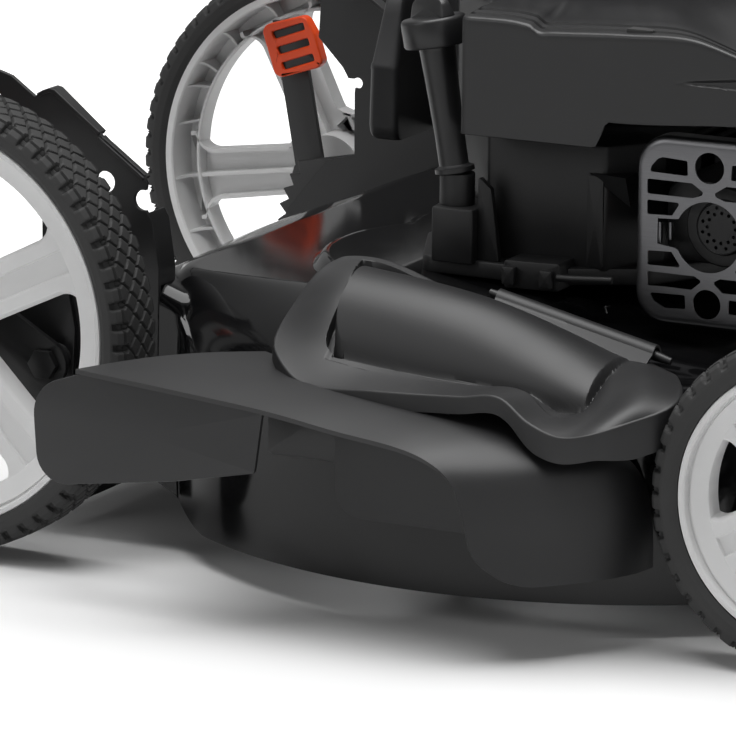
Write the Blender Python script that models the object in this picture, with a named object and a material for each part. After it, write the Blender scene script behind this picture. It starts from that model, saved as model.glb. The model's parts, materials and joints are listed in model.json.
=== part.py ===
"""Walk-behind lawn mower with a side discharge chute, four height levers and a folding handle.

Metres. +X is the operator's right, +Y is forwards and +Z is up. While it is modelled, Y is zero at the
rear axle, X is zero at the middle plane and Z is zero on the ground. At the end everything hangs on one
empty, which moves the origin to the middle of the mower's footprint.
"""
import math

import bpy
import bmesh
from mathutils import Matrix, Vector

for old in list(bpy.data.objects):
    bpy.data.objects.remove(old, do_unlink=True)

GAP = 0.0003                    # between pieces that touch
RUN_GAP = 0.0006                # round a pin that turns

# Wheels
WHEELBASE = 0.569
TRACK_HALF = 0.285              # middle plane to the outer face of a wheel
REAR_TYRE_R = 0.1397
FRONT_TYRE_R = 0.0975
REAR_TYRE_W = 0.045
FRONT_TYRE_W = 0.042
TYRE_WALL = 0.0173              # tread to rim seat
LUG_DEPTH = 0.0030
TYRE_STEPS = 44
RIM_BAND = 0.0085
RIM_INSET = 0.0035              # rim edge behind the tyre's side
WEB_FACE_INSET = 0.0085         # spokes behind the rim's outer edge
WEB_T = 0.0080
SPOKE_COUNT = 5
SPOKE_TURN = {"rear_right": 26.0, "rear_left": 44.5, "front_right": 64.0, "front_left": 30.0}
SPOKE_ROOT_W = 0.040
REAR_SPOKE_TIP_W = 0.048
FRONT_SPOKE_TIP_W = 0.034
SPOKE_CHANNEL_W = 0.016
SPOKE_CHANNEL_D = 0.0035
HUB_R = 0.0240
AXLE_R = 0.0063
CAP_R = 0.0180
CAP_T = 0.0050

# Height levers
ARM_T = 0.0040
ARM_IN = 0.2186                 # inner face of the lever arm from the middle plane
ARM_R = 0.0140
ARM_REACH = 0.0520              # pivot to axle, along the mower
ARM_RISE = 0.0300               # pivot to axle, upwards
STRIP_W = 0.0205
STRIP_RISE = 0.1020             # axle to the strip's end
STRIP_LEAN = 0.0190
GRIP_W = 0.0350
GRIP_H = 0.0390
GRIP_BELOW_END = 0.0150         # strip's end down to the grip's middle
GRIP_FORWARD = 0.0030
GRIP_T = 0.0086
GRIP_SLOT_W = 0.0230
GRIP_SLOT_H = 0.0050
GRIP_SLOTS = 3
SELECTOR_T = 0.0030
SELECTOR_R = 0.0700
SELECTOR_TOOTH = 0.0060
SELECTOR_TEETH = 6
STUD_HEAD_R = 0.0095
STUD_HEAD_T = 0.0045

# Deck
DECK_R = 0.2750
CRANK_Y = 0.3200                # crank axis, which is the middle of the round chamber
SKIRT_Z = 0.0200
SKIRT_TOP_Z = 0.1200            # where the skirt begins to turn in
DECK_TOP_Z = 0.1650
DECK_FRONT_TOP_Z = 0.1400
DECK_WALL = 0.0030
TOP_HALF_X = 0.1820
TOP_REAR = 0.2170               # crank axis back to the top's rear edge
TOP_FRONT = 0.1930
TOP_SQUARENESS = 12.0
PAD_RISE = 0.0080
PAD_R = 0.1300
BULGE_X = 0.0880
BULGE_Y = 0.2750
BULGE_R = 0.0970
SHAFT_HOLE_R = 0.0350
TAIL_HALF_X = 0.2017
TAIL_REAR_Y = 0.0280
TAIL_BOTTOM_Z = 0.0450
TAIL_TOP_Z = 0.1180             # at the rear edge
TAIL_SHOULDER = (0.1000, 0.1580)
TAIL_RUNOUT = (0.1410, 0.1510)
TAIL_CHAMFER = 0.0220
MOUTH_REAR_Y = 0.2350
MOUTH_FRONT_Y = 0.4300
MOUTH_BOTTOM_Z = 0.0850
MOUTH_IN_X = 0.1930
REAR_MOUTH_HALF_X = 0.1000
REAR_MOUTH_Z = (0.0600, 0.1150)

# Brackets
BRACKET_T = 0.0030
APRON_Z = (0.0400, 0.1300)

# Side door
DOOR_WALL = 0.0030
DOOR_REAR_Y = 0.2380
DOOR_FRONT_Y = 0.4760
DOOR_REAR_Z = 0.1860
DOOR_FRONT_Z = 0.1500
DOOR_HINGE_X = 0.2060
DOOR_HINGE_Z = 0.1832           # height of the rod at DOOR_ROD_REAR_Y
DOOR_HINGE_SLOPE = -0.2450      # rise per metre forwards
DOOR_ROD_R = 0.0030
DOOR_ROD_REAR_Y = 0.3250
DOOR_ROD_FRONT_Y = 0.4600
KNUCKLE_YS = (0.3350, 0.4180)
KNUCKLE_L = 0.0170
BARREL_RISE = 0.0240
DOOR_LIP = 0.0110
LUG_T = 0.0060

# Side deflector
CHUTE_WALL = 0.0030
GUIDE_X = 0.2790                # inner face of the guide panel
CHUTE_OUT_X = 0.3450
CHUTE_REAR_Y = 0.1420
CHUTE_WALL_Y = 0.3850           # where the outer edge turns down
CHUTE_BOTTOM_Z = 0.0450
CHUTE_TOP_Z = 0.1400

# Rear door and flap
REAR_DOOR_T = 0.0035
REAR_DOOR_HALF_X = 0.1900
REAR_ROD_R = 0.0030
FLAP_T = 0.0030

# Engine
ENGINE_Z = DECK_TOP_Z + PAD_RISE + GAP
CRANK_R = 0.0125
SUMP_T = 0.0100
CASE_HALF_X = 0.1000
CASE_RIGHT_X = 0.1300
CASE_REAR_Y = 0.2400
CASE_FRONT_Y = 0.3950
CASE_TOP_Z = 0.2560
EAR_Y = 0.3360                  # ears inside the shroud that carry it
EAR_Z = 0.2635
SHROUD_RIGHT_X = 0.1640
SHROUD_LEFT_X = -0.1650
SHROUD_REAR_Y = 0.2280
SHROUD_SIDE_REAR_Y = 0.2950
SHROUD_FRONT_Y = 0.5350
SHROUD_BOTTOM_Z = 0.2620
SHROUD_STEP_Z = 0.2780
SHROUD_STEP_Y = 0.3820
SHROUD_TOP_Z = 0.3370
SHROUD_WALL = 0.0025
SHROUD_HOLE_R = 0.0880
RECOIL_R = 0.1040
RECOIL_H = 0.0420
RECOIL_WALL = 0.0025
FLYWHEEL_R = 0.0800
FLYWHEEL_T = 0.0240
GUARD_FACE_X = 0.1600
GUARD_Y = 0.4560
GUARD_Z = 0.2200
GUARD_HALF_Y = 0.0500
GUARD_HALF_Z = 0.0540
GUARD_CORNER_R = 0.0200
GUARD_SHEET = 0.0015
GUARD_DEPTH = 0.0150
GUARD_HOLE_R = 0.0270
GUARD_SMALL_R = 0.0098
TANK_X = (-0.1250, 0.0500)
TANK_Y = (0.1680, 0.2250)
TANK_Z = (0.2280, 0.3180)
CAP_TOP_Y = 0.2640              # dipstick cap
CAP_TOP_Z = 0.3120
FILLER_X = 0.1350
FILLER_FOOT_Y = 0.2780
FILLER_FOOT_Z = 0.2320

# Cutting gear
BLADE_LENGTH = 0.5300
BLADE_W = 0.0560
BLADE_T = 0.0035
BLADE_Z = 0.0500

# Handle
HANDLE_R = 0.0125
HANDLE_SLOPE = math.radians(38.0)
LOWER_START_Y = 0.0600
LOWER_START_Z = 0.2225
LOWER_LENGTH = 0.5200
UPPER_LENGTH = 0.6600
FOLD_OVERLAP = 0.0300
CORNER_R = 0.0600
GRIP_WALL = 0.0040
BAIL_R = 0.0040
BAIL_BACK = 0.1000              # crossbar back to the bail's pivots
BAIL_REST = math.radians(45.0)
BOLT_R = 0.0040


def material(name, colour, roughness, metallic=0.0):
    """A plain Principled finish."""
    finish = bpy.data.materials.new(name)
    finish.use_nodes = True
    shader = finish.node_tree.nodes["Principled BSDF"]
    shader.inputs["Base Color"].default_value = (*colour, 1.0)
    shader.inputs["Roughness"].default_value = roughness
    shader.inputs["Metallic"].default_value = metallic
    finish.diffuse_color = (*colour, 1.0)
    return finish


DECK_PAINT = material("deck_paint", (0.012, 0.012, 0.013), 0.18)
BLACK_STEEL = material("black_steel", (0.016, 0.016, 0.017), 0.40)
DARK_PLASTIC = material("dark_plastic", (0.035, 0.035, 0.037), 0.45)
RIM_PLASTIC = material("rim_plastic", (0.50, 0.50, 0.50), 0.45)
TYRE_RUBBER = material("tyre_rubber", (0.025, 0.025, 0.026), 0.75)
ORANGE_PLASTIC = material("orange_plastic", (0.87, 0.08, 0.01), 0.40)
CAST_METAL = material("cast_metal", (0.03, 0.03, 0.03), 0.50, 0.6)
BRIGHT_STEEL = material("bright_steel", (0.45, 0.45, 0.46), 0.30, 1.0)
FOAM = material("foam", (0.02, 0.02, 0.02), 0.90)
CERAMIC = material("ceramic", (0.85, 0.85, 0.83), 0.25)

ROOT = bpy.data.objects.new("mower", None)
bpy.context.scene.collection.objects.link(ROOT)


def solid(name, points, faces, finish=None):
    """A mesh object with its faces turned outwards."""
    mesh = bpy.data.meshes.new(name)
    mesh.from_pydata([tuple(p) for p in points], [], faces)
    work = bmesh.new()
    work.from_mesh(mesh)
    bmesh.ops.recalc_face_normals(work, faces=work.faces)
    work.to_mesh(mesh)
    work.free()
    mesh.shade_smooth()
    mesh.set_sharp_from_angle(angle=math.radians(35))
    piece = bpy.data.objects.new(name, mesh)
    bpy.context.scene.collection.objects.link(piece)
    if finish:
        mesh.materials.append(finish)
    return piece


def loft(name, loops, finish=None, closed=False):
    """Closed loops of equal length, joined in order: capped at both ends, or joined end to end."""
    count = len(loops[0])
    points = [p for loop in loops for p in loop]
    faces = []
    spans = len(loops) if closed else len(loops) - 1
    for j in range(spans):
        a = j * count
        b = ((j + 1) % len(loops)) * count
        for i in range(count):
            k = (i + 1) % count
            faces.append((a + i, a + k, b + k, b + i))
    if not closed:
        faces.append(tuple(range(count - 1, -1, -1)))
        last = (len(loops) - 1) * count
        faces.append(tuple(range(last, last + count)))
    return solid(name, points, faces, finish)


def box(name, low, high, finish=None):
    """A block from its lowest to its highest corner."""
    ring = [(low[0], low[1]), (high[0], low[1]), (high[0], high[1]), (low[0], high[1])]
    return loft(name, [[(x, y, z) for x, y in ring] for z in (low[2], high[2])], finish)


def along_x(outline, x):
    return [(x, y, z) for y, z in outline]


def plate(name, outline, start, end, finish=None):
    """A (y, z) outline pushed out along X."""
    return loft(name, [along_x(outline, start), along_x(outline, end)], finish)


def slab(name, outline, bottom, top, finish=None):
    """An (x, y) outline pushed up along Z."""
    return loft(name, [[(x, y, z) for x, y in outline] for z in (bottom, top)], finish)


def rounded(corners, radius, steps=3):
    """An outline with each corner replaced by an arc of the radius."""
    outline = []
    for i, corner in enumerate(corners):
        here = Vector(corner)
        back = (Vector(corners[i - 1]) - here)
        ahead = (Vector(corners[(i + 1) % len(corners)]) - here)
        half = back.angle(ahead) / 2
        cut = min(radius / math.tan(half), 0.45 * back.length, 0.45 * ahead.length)
        bend = cut * math.tan(half)
        middle = here + (back.normalized() + ahead.normalized()).normalized() * bend / math.sin(half)
        start = here + back.normalized() * cut - middle
        end = here + ahead.normalized() * cut - middle
        turn = start.angle_signed(end)
        for step in range(steps + 1):
            spoke = start.copy()
            spoke.rotate(Matrix.Rotation(-turn * step / steps, 2))
            outline.append(tuple(middle + spoke))
    return outline


def circle(radius, steps, middle=(0.0, 0.0)):
    """A round outline."""
    turns = [2 * math.pi * (i + 0.5) / steps for i in range(steps)]
    return [(middle[0] + radius * math.cos(t), middle[1] + radius * math.sin(t)) for t in turns]


def rod(name, start, end, radius, steps=12, finish=None):
    """A round bar between two points."""
    start = Vector(start)
    end = Vector(end)
    turn = (end - start).to_track_quat("Z", "X")
    ring = [turn @ Vector((x, y, 0.0)) for x, y in circle(radius, steps)]
    return loft(name, [[start + p for p in ring], [end + p for p in ring]], finish)


def turned(name, profile, middle, axis="X", steps=24, finish=None, ring=True):
    """A (radius, along) profile turned about an axis through the middle: a ring, or a solid with caps."""
    loops = []
    for radius, along in profile:
        loop = []
        for u, v in circle(radius, steps):
            if axis == "X":
                loop.append((middle[0] + along, middle[1] + u, middle[2] + v))
            else:
                loop.append((middle[0] + u, middle[1] + v, middle[2] + along))
        loops.append(loop)
    return loft(name, loops, finish, closed=ring)


def swept(name, path, radius, steps=8, finish=None):
    """A bar of round section along a list of points."""
    path = [Vector(p) for p in path]
    loops = []
    side = None
    for i, here in enumerate(path):
        ahead = (path[min(i + 1, len(path) - 1)] - here)
        back = (here - path[max(i - 1, 0)])
        tangent = (ahead.normalized() + back.normalized()).normalized()
        if side is None:
            side = tangent.orthogonal().normalized()
        side = (side - tangent * side.dot(tangent)).normalized()
        other = tangent.cross(side)
        loops.append([here + side * u + other * v for u, v in circle(radius, steps)])
    return loft(name, loops, finish)


def bend(before, corner, after, radius, steps=5):
    """Points of the arc that rounds one corner of a path."""
    corner = Vector(corner)
    back = (Vector(before) - corner).normalized()
    ahead = (Vector(after) - corner).normalized()
    half = back.angle(ahead) / 2
    cut = radius / math.tan(half)
    middle = corner + (back + ahead).normalized() * radius / math.sin(half)
    start = (corner + back * cut - middle)
    end = (corner + ahead * cut - middle)
    turn = start.angle(end)
    points = []
    for step in range(steps + 1):
        share = step / steps
        mix = (start * math.sin((1 - share) * turn) + end * math.sin(share * turn)) / math.sin(turn)
        points.append(middle + mix)
    return points


def settle(piece):
    """The piece's mesh as its modifiers leave it."""
    graph = bpy.context.evaluated_depsgraph_get()
    graph.update()
    finished = bpy.data.meshes.new_from_object(piece.evaluated_get(graph))
    piece.modifiers.clear()
    piece.data = finished
    finished.shade_smooth()
    finished.set_sharp_from_angle(angle=math.radians(35))
    return piece


def combine(piece, others, operation):
    """One boolean for each of the others, which are then removed."""
    for other in others:
        step = piece.modifiers.new(other.name, "BOOLEAN")
        step.operation = operation
        step.solver = "EXACT"
        step.object = other
    settle(piece)
    for other in others:
        bpy.data.objects.remove(other, do_unlink=True)
    return piece


def fuse(piece, *others):
    return combine(piece, others, "UNION")


def carve(piece, *others):
    return combine(piece, others, "DIFFERENCE")


def thicken(name, rows, wall, finish, offset=-1.0):
    """A sheet through rows of points, given its wall."""
    wide = len(rows[0])
    points = [p for row in rows for p in row]
    faces = []
    for j in range(len(rows) - 1):
        for i in range(wide - 1):
            a = j * wide + i
            faces.append((a, a + 1, a + 1 + wide, a + wide))
    sheet = solid(name, points, faces, finish)
    skin = sheet.modifiers.new("wall", "SOLIDIFY")
    skin.thickness = wall
    skin.offset = offset
    skin.use_even_offset = True
    return settle(sheet)


def hang(piece, parent=None, pivot=None):
    """Puts the object's origin on its joint and hangs it on the mower or on another piece."""
    if pivot is not None:
        pivot = Vector(pivot)
        piece.data.transform(Matrix.Translation(-pivot))
        piece.location = pivot
    piece.parent = parent or ROOT
    if parent:
        piece.location = piece.location - parent.location
    return piece


def wheel_places():
    """Each wheel's name, side, place and sizes."""
    places = []
    for row, y, radius, width, tip in (
        ("rear", 0.0, REAR_TYRE_R, REAR_TYRE_W, REAR_SPOKE_TIP_W),
        ("front", WHEELBASE, FRONT_TYRE_R, FRONT_TYRE_W, FRONT_SPOKE_TIP_W),
    ):
        for side_name, side in (("right", 1.0), ("left", -1.0)):
            middle = Vector((side * (TRACK_HALF - width / 2), y, radius))
            places.append((row, side_name, side, middle, radius, width, tip))
    return places


def make_tyre(name, side, middle, radius, width):
    """A tyre with shoulder lugs, which step in at every second station."""
    half = width / 2
    seat = radius - TYRE_WALL + GAP
    profile = [
        (seat, -half + RIM_INSET, 0.0),
        (seat + 0.0060, -half, 0.0),
        (radius - 0.0060, -half + 0.0005, 0.6),
        (radius - 0.0010, -half + 0.0060, 1.0),
        (radius, 0.0, 0.0),
        (radius - 0.0010, half - 0.0060, 1.0),
        (radius - 0.0060, half - 0.0005, 0.6),
        (seat + 0.0060, half, 0.0),
        (seat, half - RIM_INSET, 0.0),
    ]
    loops = []
    for r, along, lug in profile:
        loop = []
        for i in range(TYRE_STEPS):
            turn = 2 * math.pi * (i + 0.5) / TYRE_STEPS
            reach = r - (LUG_DEPTH * lug if i % 2 else 0.0)
            loop.append((
                middle.x + side * along,
                middle.y + reach * math.cos(turn),
                middle.z + reach * math.sin(turn),
            ))
        loops.append(loop)
    return loft(name, loops, TYRE_RUBBER, closed=True)


def make_rim(tag, side, middle, radius, width, tip_w):
    """A rim: a band, five channelled spokes behind its outer edge, and a bored hub."""
    edge = width / 2 - RIM_INSET
    outer = radius - TYRE_WALL
    inner = outer - RIM_BAND
    rim = turned(f"rim_{tag}", [(inner, -edge), (outer, -edge), (outer, edge), (inner - 0.001, edge)],
                 middle, "X", TYRE_STEPS, RIM_PLASTIC)
    face = edge - WEB_FACE_INSET
    parts = []
    cuts = []
    for i in range(SPOKE_COUNT):
        turn = Matrix.Rotation(2 * math.pi * i / SPOKE_COUNT + math.radians(SPOKE_TURN[tag]), 2)
        root = HUB_R * 0.7
        tip = outer - RIM_BAND * 0.4
        shape = [(root, -SPOKE_ROOT_W / 2), (tip, -tip_w / 2), (tip, tip_w / 2), (root, SPOKE_ROOT_W / 2)]
        groove_end = inner - 0.006
        half_groove = SPOKE_CHANNEL_W / 2
        groove = [(HUB_R + 0.004, -half_groove), (groove_end, -half_groove),
                  (groove_end, half_groove), (HUB_R + 0.004, half_groove)]
        spoke = [tuple(turn @ Vector(p)) for p in shape]
        channel = [tuple(turn @ Vector(p)) for p in groove]
        spoke = [(middle.y + u, middle.z + v) for u, v in spoke]
        channel = [(middle.y + u, middle.z + v) for u, v in channel]
        parts.append(plate("spoke", spoke, middle.x + side * (face - WEB_T), middle.x + side * face))
        cuts.append(plate("channel", channel, middle.x + side * (face - SPOKE_CHANNEL_D),
                          middle.x + side * (face + 0.01)))
    hub = [(HUB_R, -side * edge), (HUB_R, side * (edge - 0.003))]
    parts.append(turned("hub", hub, middle, "X", 24, ring=False))
    fuse(rim, *parts)
    cuts.append(turned("bore", [(AXLE_R + GAP, -width), (AXLE_R + GAP, width)], middle, "X", 16, ring=False))
    return carve(rim, *cuts)


def lever_frame(row, side, middle):
    """The lever's pivot, and a function from (towards the axle, up) to the mower's (y, z)."""
    forward = 1.0 if row == "front" else -1.0
    pivot_y = middle.y - forward * ARM_REACH
    pivot_z = middle.z - ARM_RISE

    def place(u, w):
        return (pivot_y + forward * u, pivot_z + w)

    return Vector((side * ARM_IN, pivot_y, pivot_z)), place


def make_lever(name, row, side, middle):
    """A steel arm from the pivot to the stub axle, with the strip that rises to the grip."""
    _, place = lever_frame(row, side, middle)
    near = side * ARM_IN
    far = side * (ARM_IN + ARM_T)
    along = Vector((ARM_REACH, ARM_RISE))
    across = Vector((-along.y, along.x)).normalized() * ARM_R
    link = [across, -across, along - across, along + across]
    arm = plate(name, [place(p.x, p.y) for p in link], near, far, BLACK_STEEL)
    foot = Vector((ARM_REACH, ARM_RISE))
    head = foot + Vector((STRIP_LEAN, STRIP_RISE))
    half = Vector((STRIP_W / 2, 0.0))
    strip = [foot - half, foot + half, head + half, head - half]
    axle_end = TRACK_HALF - RIM_INSET - 0.003
    arm = fuse(
        arm,
        plate("eye", circle(ARM_R, 20, place(0.0, 0.0)), near, far),
        plate("boss", circle(ARM_R, 20, place(ARM_REACH, ARM_RISE)), near, far),
        plate("strip", [place(p.x, p.y) for p in strip], near, far),
        rod("axle", (near + side * 0.001, middle.y, middle.z), (side * axle_end, middle.y, middle.z), AXLE_R, 16),
    )
    hole = plate("hole", circle(AXLE_R + RUN_GAP, 16, place(0.0, 0.0)), near - side * 0.01, far + side * 0.01)
    return carve(arm, hole)


def make_lever_grip(name, row, side, middle):
    """A moulded paddle with three slots, on the inner side of the strip's end."""
    _, place = lever_frame(row, side, middle)
    far = side * (ARM_IN - GAP)
    near = side * (ARM_IN - GAP - GRIP_T)
    foot = Vector((ARM_REACH, ARM_RISE))
    lean = Vector((STRIP_LEAN, STRIP_RISE))
    up = lean.normalized()
    out = Vector((up.y, -up.x))
    middle_2d = foot + lean - up * GRIP_BELOW_END - out * GRIP_FORWARD

    def patch(half_w, half_h, shift=0.0):
        centre = middle_2d + up * shift
        return [centre + out * a * half_w + up * b * half_h for a, b in ((-1, -1), (1, -1), (1, 1), (-1, 1))]

    outline = rounded(patch(GRIP_W / 2, GRIP_H / 2), 0.006, 3)
    grip = plate(name, [place(*p) for p in outline], near, far, ORANGE_PLASTIC)
    pitch = GRIP_H / (GRIP_SLOTS + 0.6)
    cuts = []
    for i in range(GRIP_SLOTS):
        slot = patch(GRIP_SLOT_W / 2, GRIP_SLOT_H / 2, (i - (GRIP_SLOTS - 1) / 2) * pitch)
        cuts.append(plate("slot", [place(*p) for p in slot], near - side * 0.01, far + side * 0.01))
    return carve(grip, *cuts)


def make_selector(name, row, side, middle):
    """A toothed plate on the bracket, with the shoulder stud that the arm turns on."""
    _, place = lever_frame(row, side, middle)
    near = side * (TAIL_HALF_X + GAP + BRACKET_T + GAP)
    far = near + side * SELECTOR_T
    outline = [(-0.010, -0.024), (0.030, -0.026)]
    teeth = SELECTOR_TEETH * 2
    for i in range(teeth + 1):
        turn = math.radians(-16 + 54 * i / teeth)
        reach = SELECTOR_R - (SELECTOR_TOOTH if i % 2 else 0.0)
        outline.append((reach * math.cos(turn), reach * math.sin(turn)))
    outline += [(0.036, 0.0470), (0.012, 0.0520), (-0.008, 0.0400), (-0.012, 0.0200)]
    selector = plate(name, [place(u, w) for u, w in outline], near, far, BLACK_STEEL)
    y, z = place(0.0, 0.0)
    arm_far = side * (ARM_IN + ARM_T + GAP)
    collar_end = side * (ARM_IN - GAP)
    return fuse(
        selector,
        rod("collar", (near + side * 0.001, y, z), (collar_end, y, z), ARM_R * 0.7, 16),
        rod("stud", (near + side * 0.001, y, z), (arm_far + side * 0.001, y, z), AXLE_R, 16),
        rod("head", (arm_far, y, z), (arm_far + side * STUD_HEAD_T, y, z), STUD_HEAD_R, 6),
    )


def make_wheels():
    """Tyre, rim, cap, lever, grip and selector at each corner."""
    for row, side_name, side, middle, radius, width, tip_w in wheel_places():
        tag = f"{row}_{side_name}"
        pivot, _ = lever_frame(row, side, middle)
        lever = hang(make_lever(f"height_lever_{tag}", row, side, middle), None, pivot)
        hang(make_lever_grip(f"lever_grip_{tag}", row, side, middle), lever, pivot)
        rim = hang(make_rim(tag, side, middle, radius, width, tip_w), lever, middle)
        rim.location = middle - pivot
        tyre = make_tyre(f"tyre_{tag}", side, middle, radius, width)
        tyre.data.transform(Matrix.Translation(-middle))
        tyre.parent = rim
        face = middle.x + side * (width / 2 - RIM_INSET - 0.003)
        cap = turned(f"hub_cap_{tag}", [(CAP_R, GAP), (CAP_R, CAP_T * 0.6), (CAP_R * 0.6, CAP_T)],
                     (0.0, middle.y, middle.z), "X", 20, RIM_PLASTIC, ring=False)
        for vertex in cap.data.vertices:
            vertex.co.x = face + side * vertex.co.x
        if side < 0:
            cap.data.flip_normals()
        cap.data.transform(Matrix.Translation(-middle))
        cap.parent = rim
        hang(make_selector(f"selector_plate_{tag}", row, side, middle))


def deck_reach(turn, shrink=0.0):
    """How far the skirt and the top reach from the crank axis in one direction."""
    back = TOP_REAR if math.sin(turn) < 0 else TOP_FRONT
    a = abs(math.cos(turn) / (TOP_HALF_X - shrink)) ** TOP_SQUARENESS
    b = abs(math.sin(turn) / (back - shrink)) ** TOP_SQUARENESS
    return DECK_R - shrink, (a + b) ** (-1 / TOP_SQUARENESS)


def top_height(y):
    """The deck's top is level to the middle and then falls towards the front."""
    share = max(0.0, (y - CRANK_Y + 0.07) / (TOP_FRONT + 0.07))
    return DECK_TOP_Z - (DECK_TOP_Z - DECK_FRONT_TOP_Z) * share


def deck_surface(shrink, steps):
    """Loops of the deck's outer or inner face, from the skirt's edge to the shaft hole."""
    turns = [2 * math.pi * (i + 0.5) / steps for i in range(steps)]
    loops = [[], []]
    for turn in turns:
        skirt, _ = deck_reach(turn, shrink)
        for loop, z in zip(loops, (SKIRT_Z, SKIRT_TOP_Z)):
            loop.append((skirt * math.cos(turn), CRANK_Y + skirt * math.sin(turn), z))
    for step in (1, 2, 3, 4):
        lift = math.radians(90 * step / 4)
        loop = []
        for turn in turns:
            skirt, top = deck_reach(turn, shrink)
            reach = skirt + (top - skirt) * (1 - math.cos(lift))
            edge_y = CRANK_Y + top * math.sin(turn)
            height = (top_height(edge_y) - shrink - SKIRT_TOP_Z) * math.sin(lift)
            y = CRANK_Y + reach * math.sin(turn)
            loop.append((reach * math.cos(turn), y, SKIRT_TOP_Z + height))
        loops.append(loop)
    for reach in (PAD_R - 0.01, SHAFT_HOLE_R):
        loops.append([
            (reach * math.cos(t), CRANK_Y + reach * math.sin(t), DECK_TOP_Z - shrink) for t in turns
        ])
    return loops


def tail_section(y, top):
    """One section of the tail: an upturned channel with cut corners."""
    half = []
    for inset in (0.0, DECK_WALL):
        out = TAIL_HALF_X - inset
        cut = TAIL_CHAMFER - inset * 0.5
        run = [(out, TAIL_BOTTOM_Z), (out, top - inset - cut), (out - cut, top - inset)]
        half.append([(-x, z) for x, z in run] + [(x, z) for x, z in reversed(run)])
    return [(x, y, z) for x, z in half[0] + half[1][::-1]]


def pad_outline(steps):
    """The raised pad: a disc round the crank and a second one towards the right rear, as one outline."""
    eye = Vector((0.035, 0.300))
    outline = []
    for i in range(steps):
        turn = 2 * math.pi * (i + 0.5) / steps
        way = Vector((math.cos(turn), math.sin(turn)))
        reach = 0.0
        for middle, radius in ((Vector((0.0, CRANK_Y)), PAD_R), (Vector((BULGE_X, BULGE_Y)), BULGE_R)):
            along = way.dot(middle - eye)
            reach = max(reach, along + math.sqrt(radius ** 2 - (middle - eye).length_squared + along ** 2))
        outline.append(tuple(eye + way * reach))
    return outline


def make_deck():
    """The pressed shell: chamber, engine pad, tail channel, hinge ears, and its two mouths."""
    steps = 56
    outer = deck_surface(0.0, steps)
    inner = deck_surface(DECK_WALL, steps)
    deck = loft("deck_shell", outer + inner[::-1], DECK_PAINT, closed=True)
    pad = slab("pad", pad_outline(48), DECK_TOP_Z - DECK_WALL / 2, DECK_TOP_Z + PAD_RISE)
    tail = loft("tail", [tail_section(y, z) for y, z in ((TAIL_REAR_Y, TAIL_TOP_Z), TAIL_SHOULDER, TAIL_RUNOUT)])
    ears = []
    for y, inward in ((DOOR_ROD_REAR_Y - GAP - LUG_T, 0.036), (DOOR_ROD_FRONT_Y + GAP, 0.020)):
        z = hinge_height(y + LUG_T / 2)
        ears.append(box("ear", (DOOR_HINGE_X - inward, y, z - 0.0230), (DOOR_HINGE_X + 0.003, y + LUG_T, z + 0.0035)))
    fuse(deck, pad, tail, *ears)
    side_mouth = box("side_mouth", (MOUTH_IN_X, MOUTH_REAR_Y, MOUTH_BOTTOM_Z), (0.30, MOUTH_FRONT_Y, 0.20))
    rear_mouth = box("rear_mouth", (-REAR_MOUTH_HALF_X, 0.030, REAR_MOUTH_Z[0]),
                     (REAR_MOUTH_HALF_X, 0.100, REAR_MOUTH_Z[1]))
    shaft = slab("shaft", circle(SHAFT_HOLE_R - 0.001, 32, (0.0, CRANK_Y)), 0.14, 0.20)
    return hang(carve(deck, side_mouth, rear_mouth, shaft))


def make_brackets():
    """Handle brackets on the tail's sides, and the front apron."""
    band = [
        (0.118, 0.080), (0.118, 0.170), (0.110, 0.220), (0.104, 0.226), (0.046, 0.272), (0.035, 0.266),
        (0.016, 0.2785), (-0.004, 0.283), (-0.070, 0.334), (-0.092, 0.306), (0.000, 0.244), (0.031, 0.2186),
        (0.040, 0.207), (0.040, 0.162),
        (0.020, 0.156), (-0.010, 0.120), (0.020, 0.080),
    ]
    for name, side in (("handle_bracket_right", 1.0), ("handle_bracket_left", -1.0)):
        near = side * (TAIL_HALF_X + GAP)
        bracket = plate(name, rounded(band, 0.005, 2), near, near + side * BRACKET_T, BLACK_STEEL)
        hole = plate("hole", circle(0.0060, 12, (0.082, 0.216)), near - side * 0.01, near + side * 0.02)
        hang(carve(bracket, hole))
    front = CRANK_Y + DECK_R + GAP
    back = WHEELBASE - ARM_REACH - 0.010
    out = TAIL_HALF_X + GAP + BRACKET_T
    outline = [(-out, back), (-out, front + BRACKET_T), (out, front + BRACKET_T), (out, back),
               (out - BRACKET_T, back), (out - BRACKET_T, front), (-out + BRACKET_T, front),
               (-out + BRACKET_T, back)]
    hang(slab("front_apron", outline, APRON_Z[0], APRON_Z[1], BLACK_STEEL))


def hinge_height(y):
    """Height of the side door's rod."""
    return DOOR_HINGE_Z + DOOR_HINGE_SLOPE * (y - DOOR_ROD_REAR_Y)


def curve_through(stops, at):
    """Smooth interpolation of (position, value) stops."""
    for (a, low), (b, high) in zip(stops, stops[1:]):
        if at <= b:
            share = max(0.0, (at - a) / (b - a))
            share = share * share * (3 - 2 * share)
            return low + (high - low) * share
    return stops[-1][1]


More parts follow.
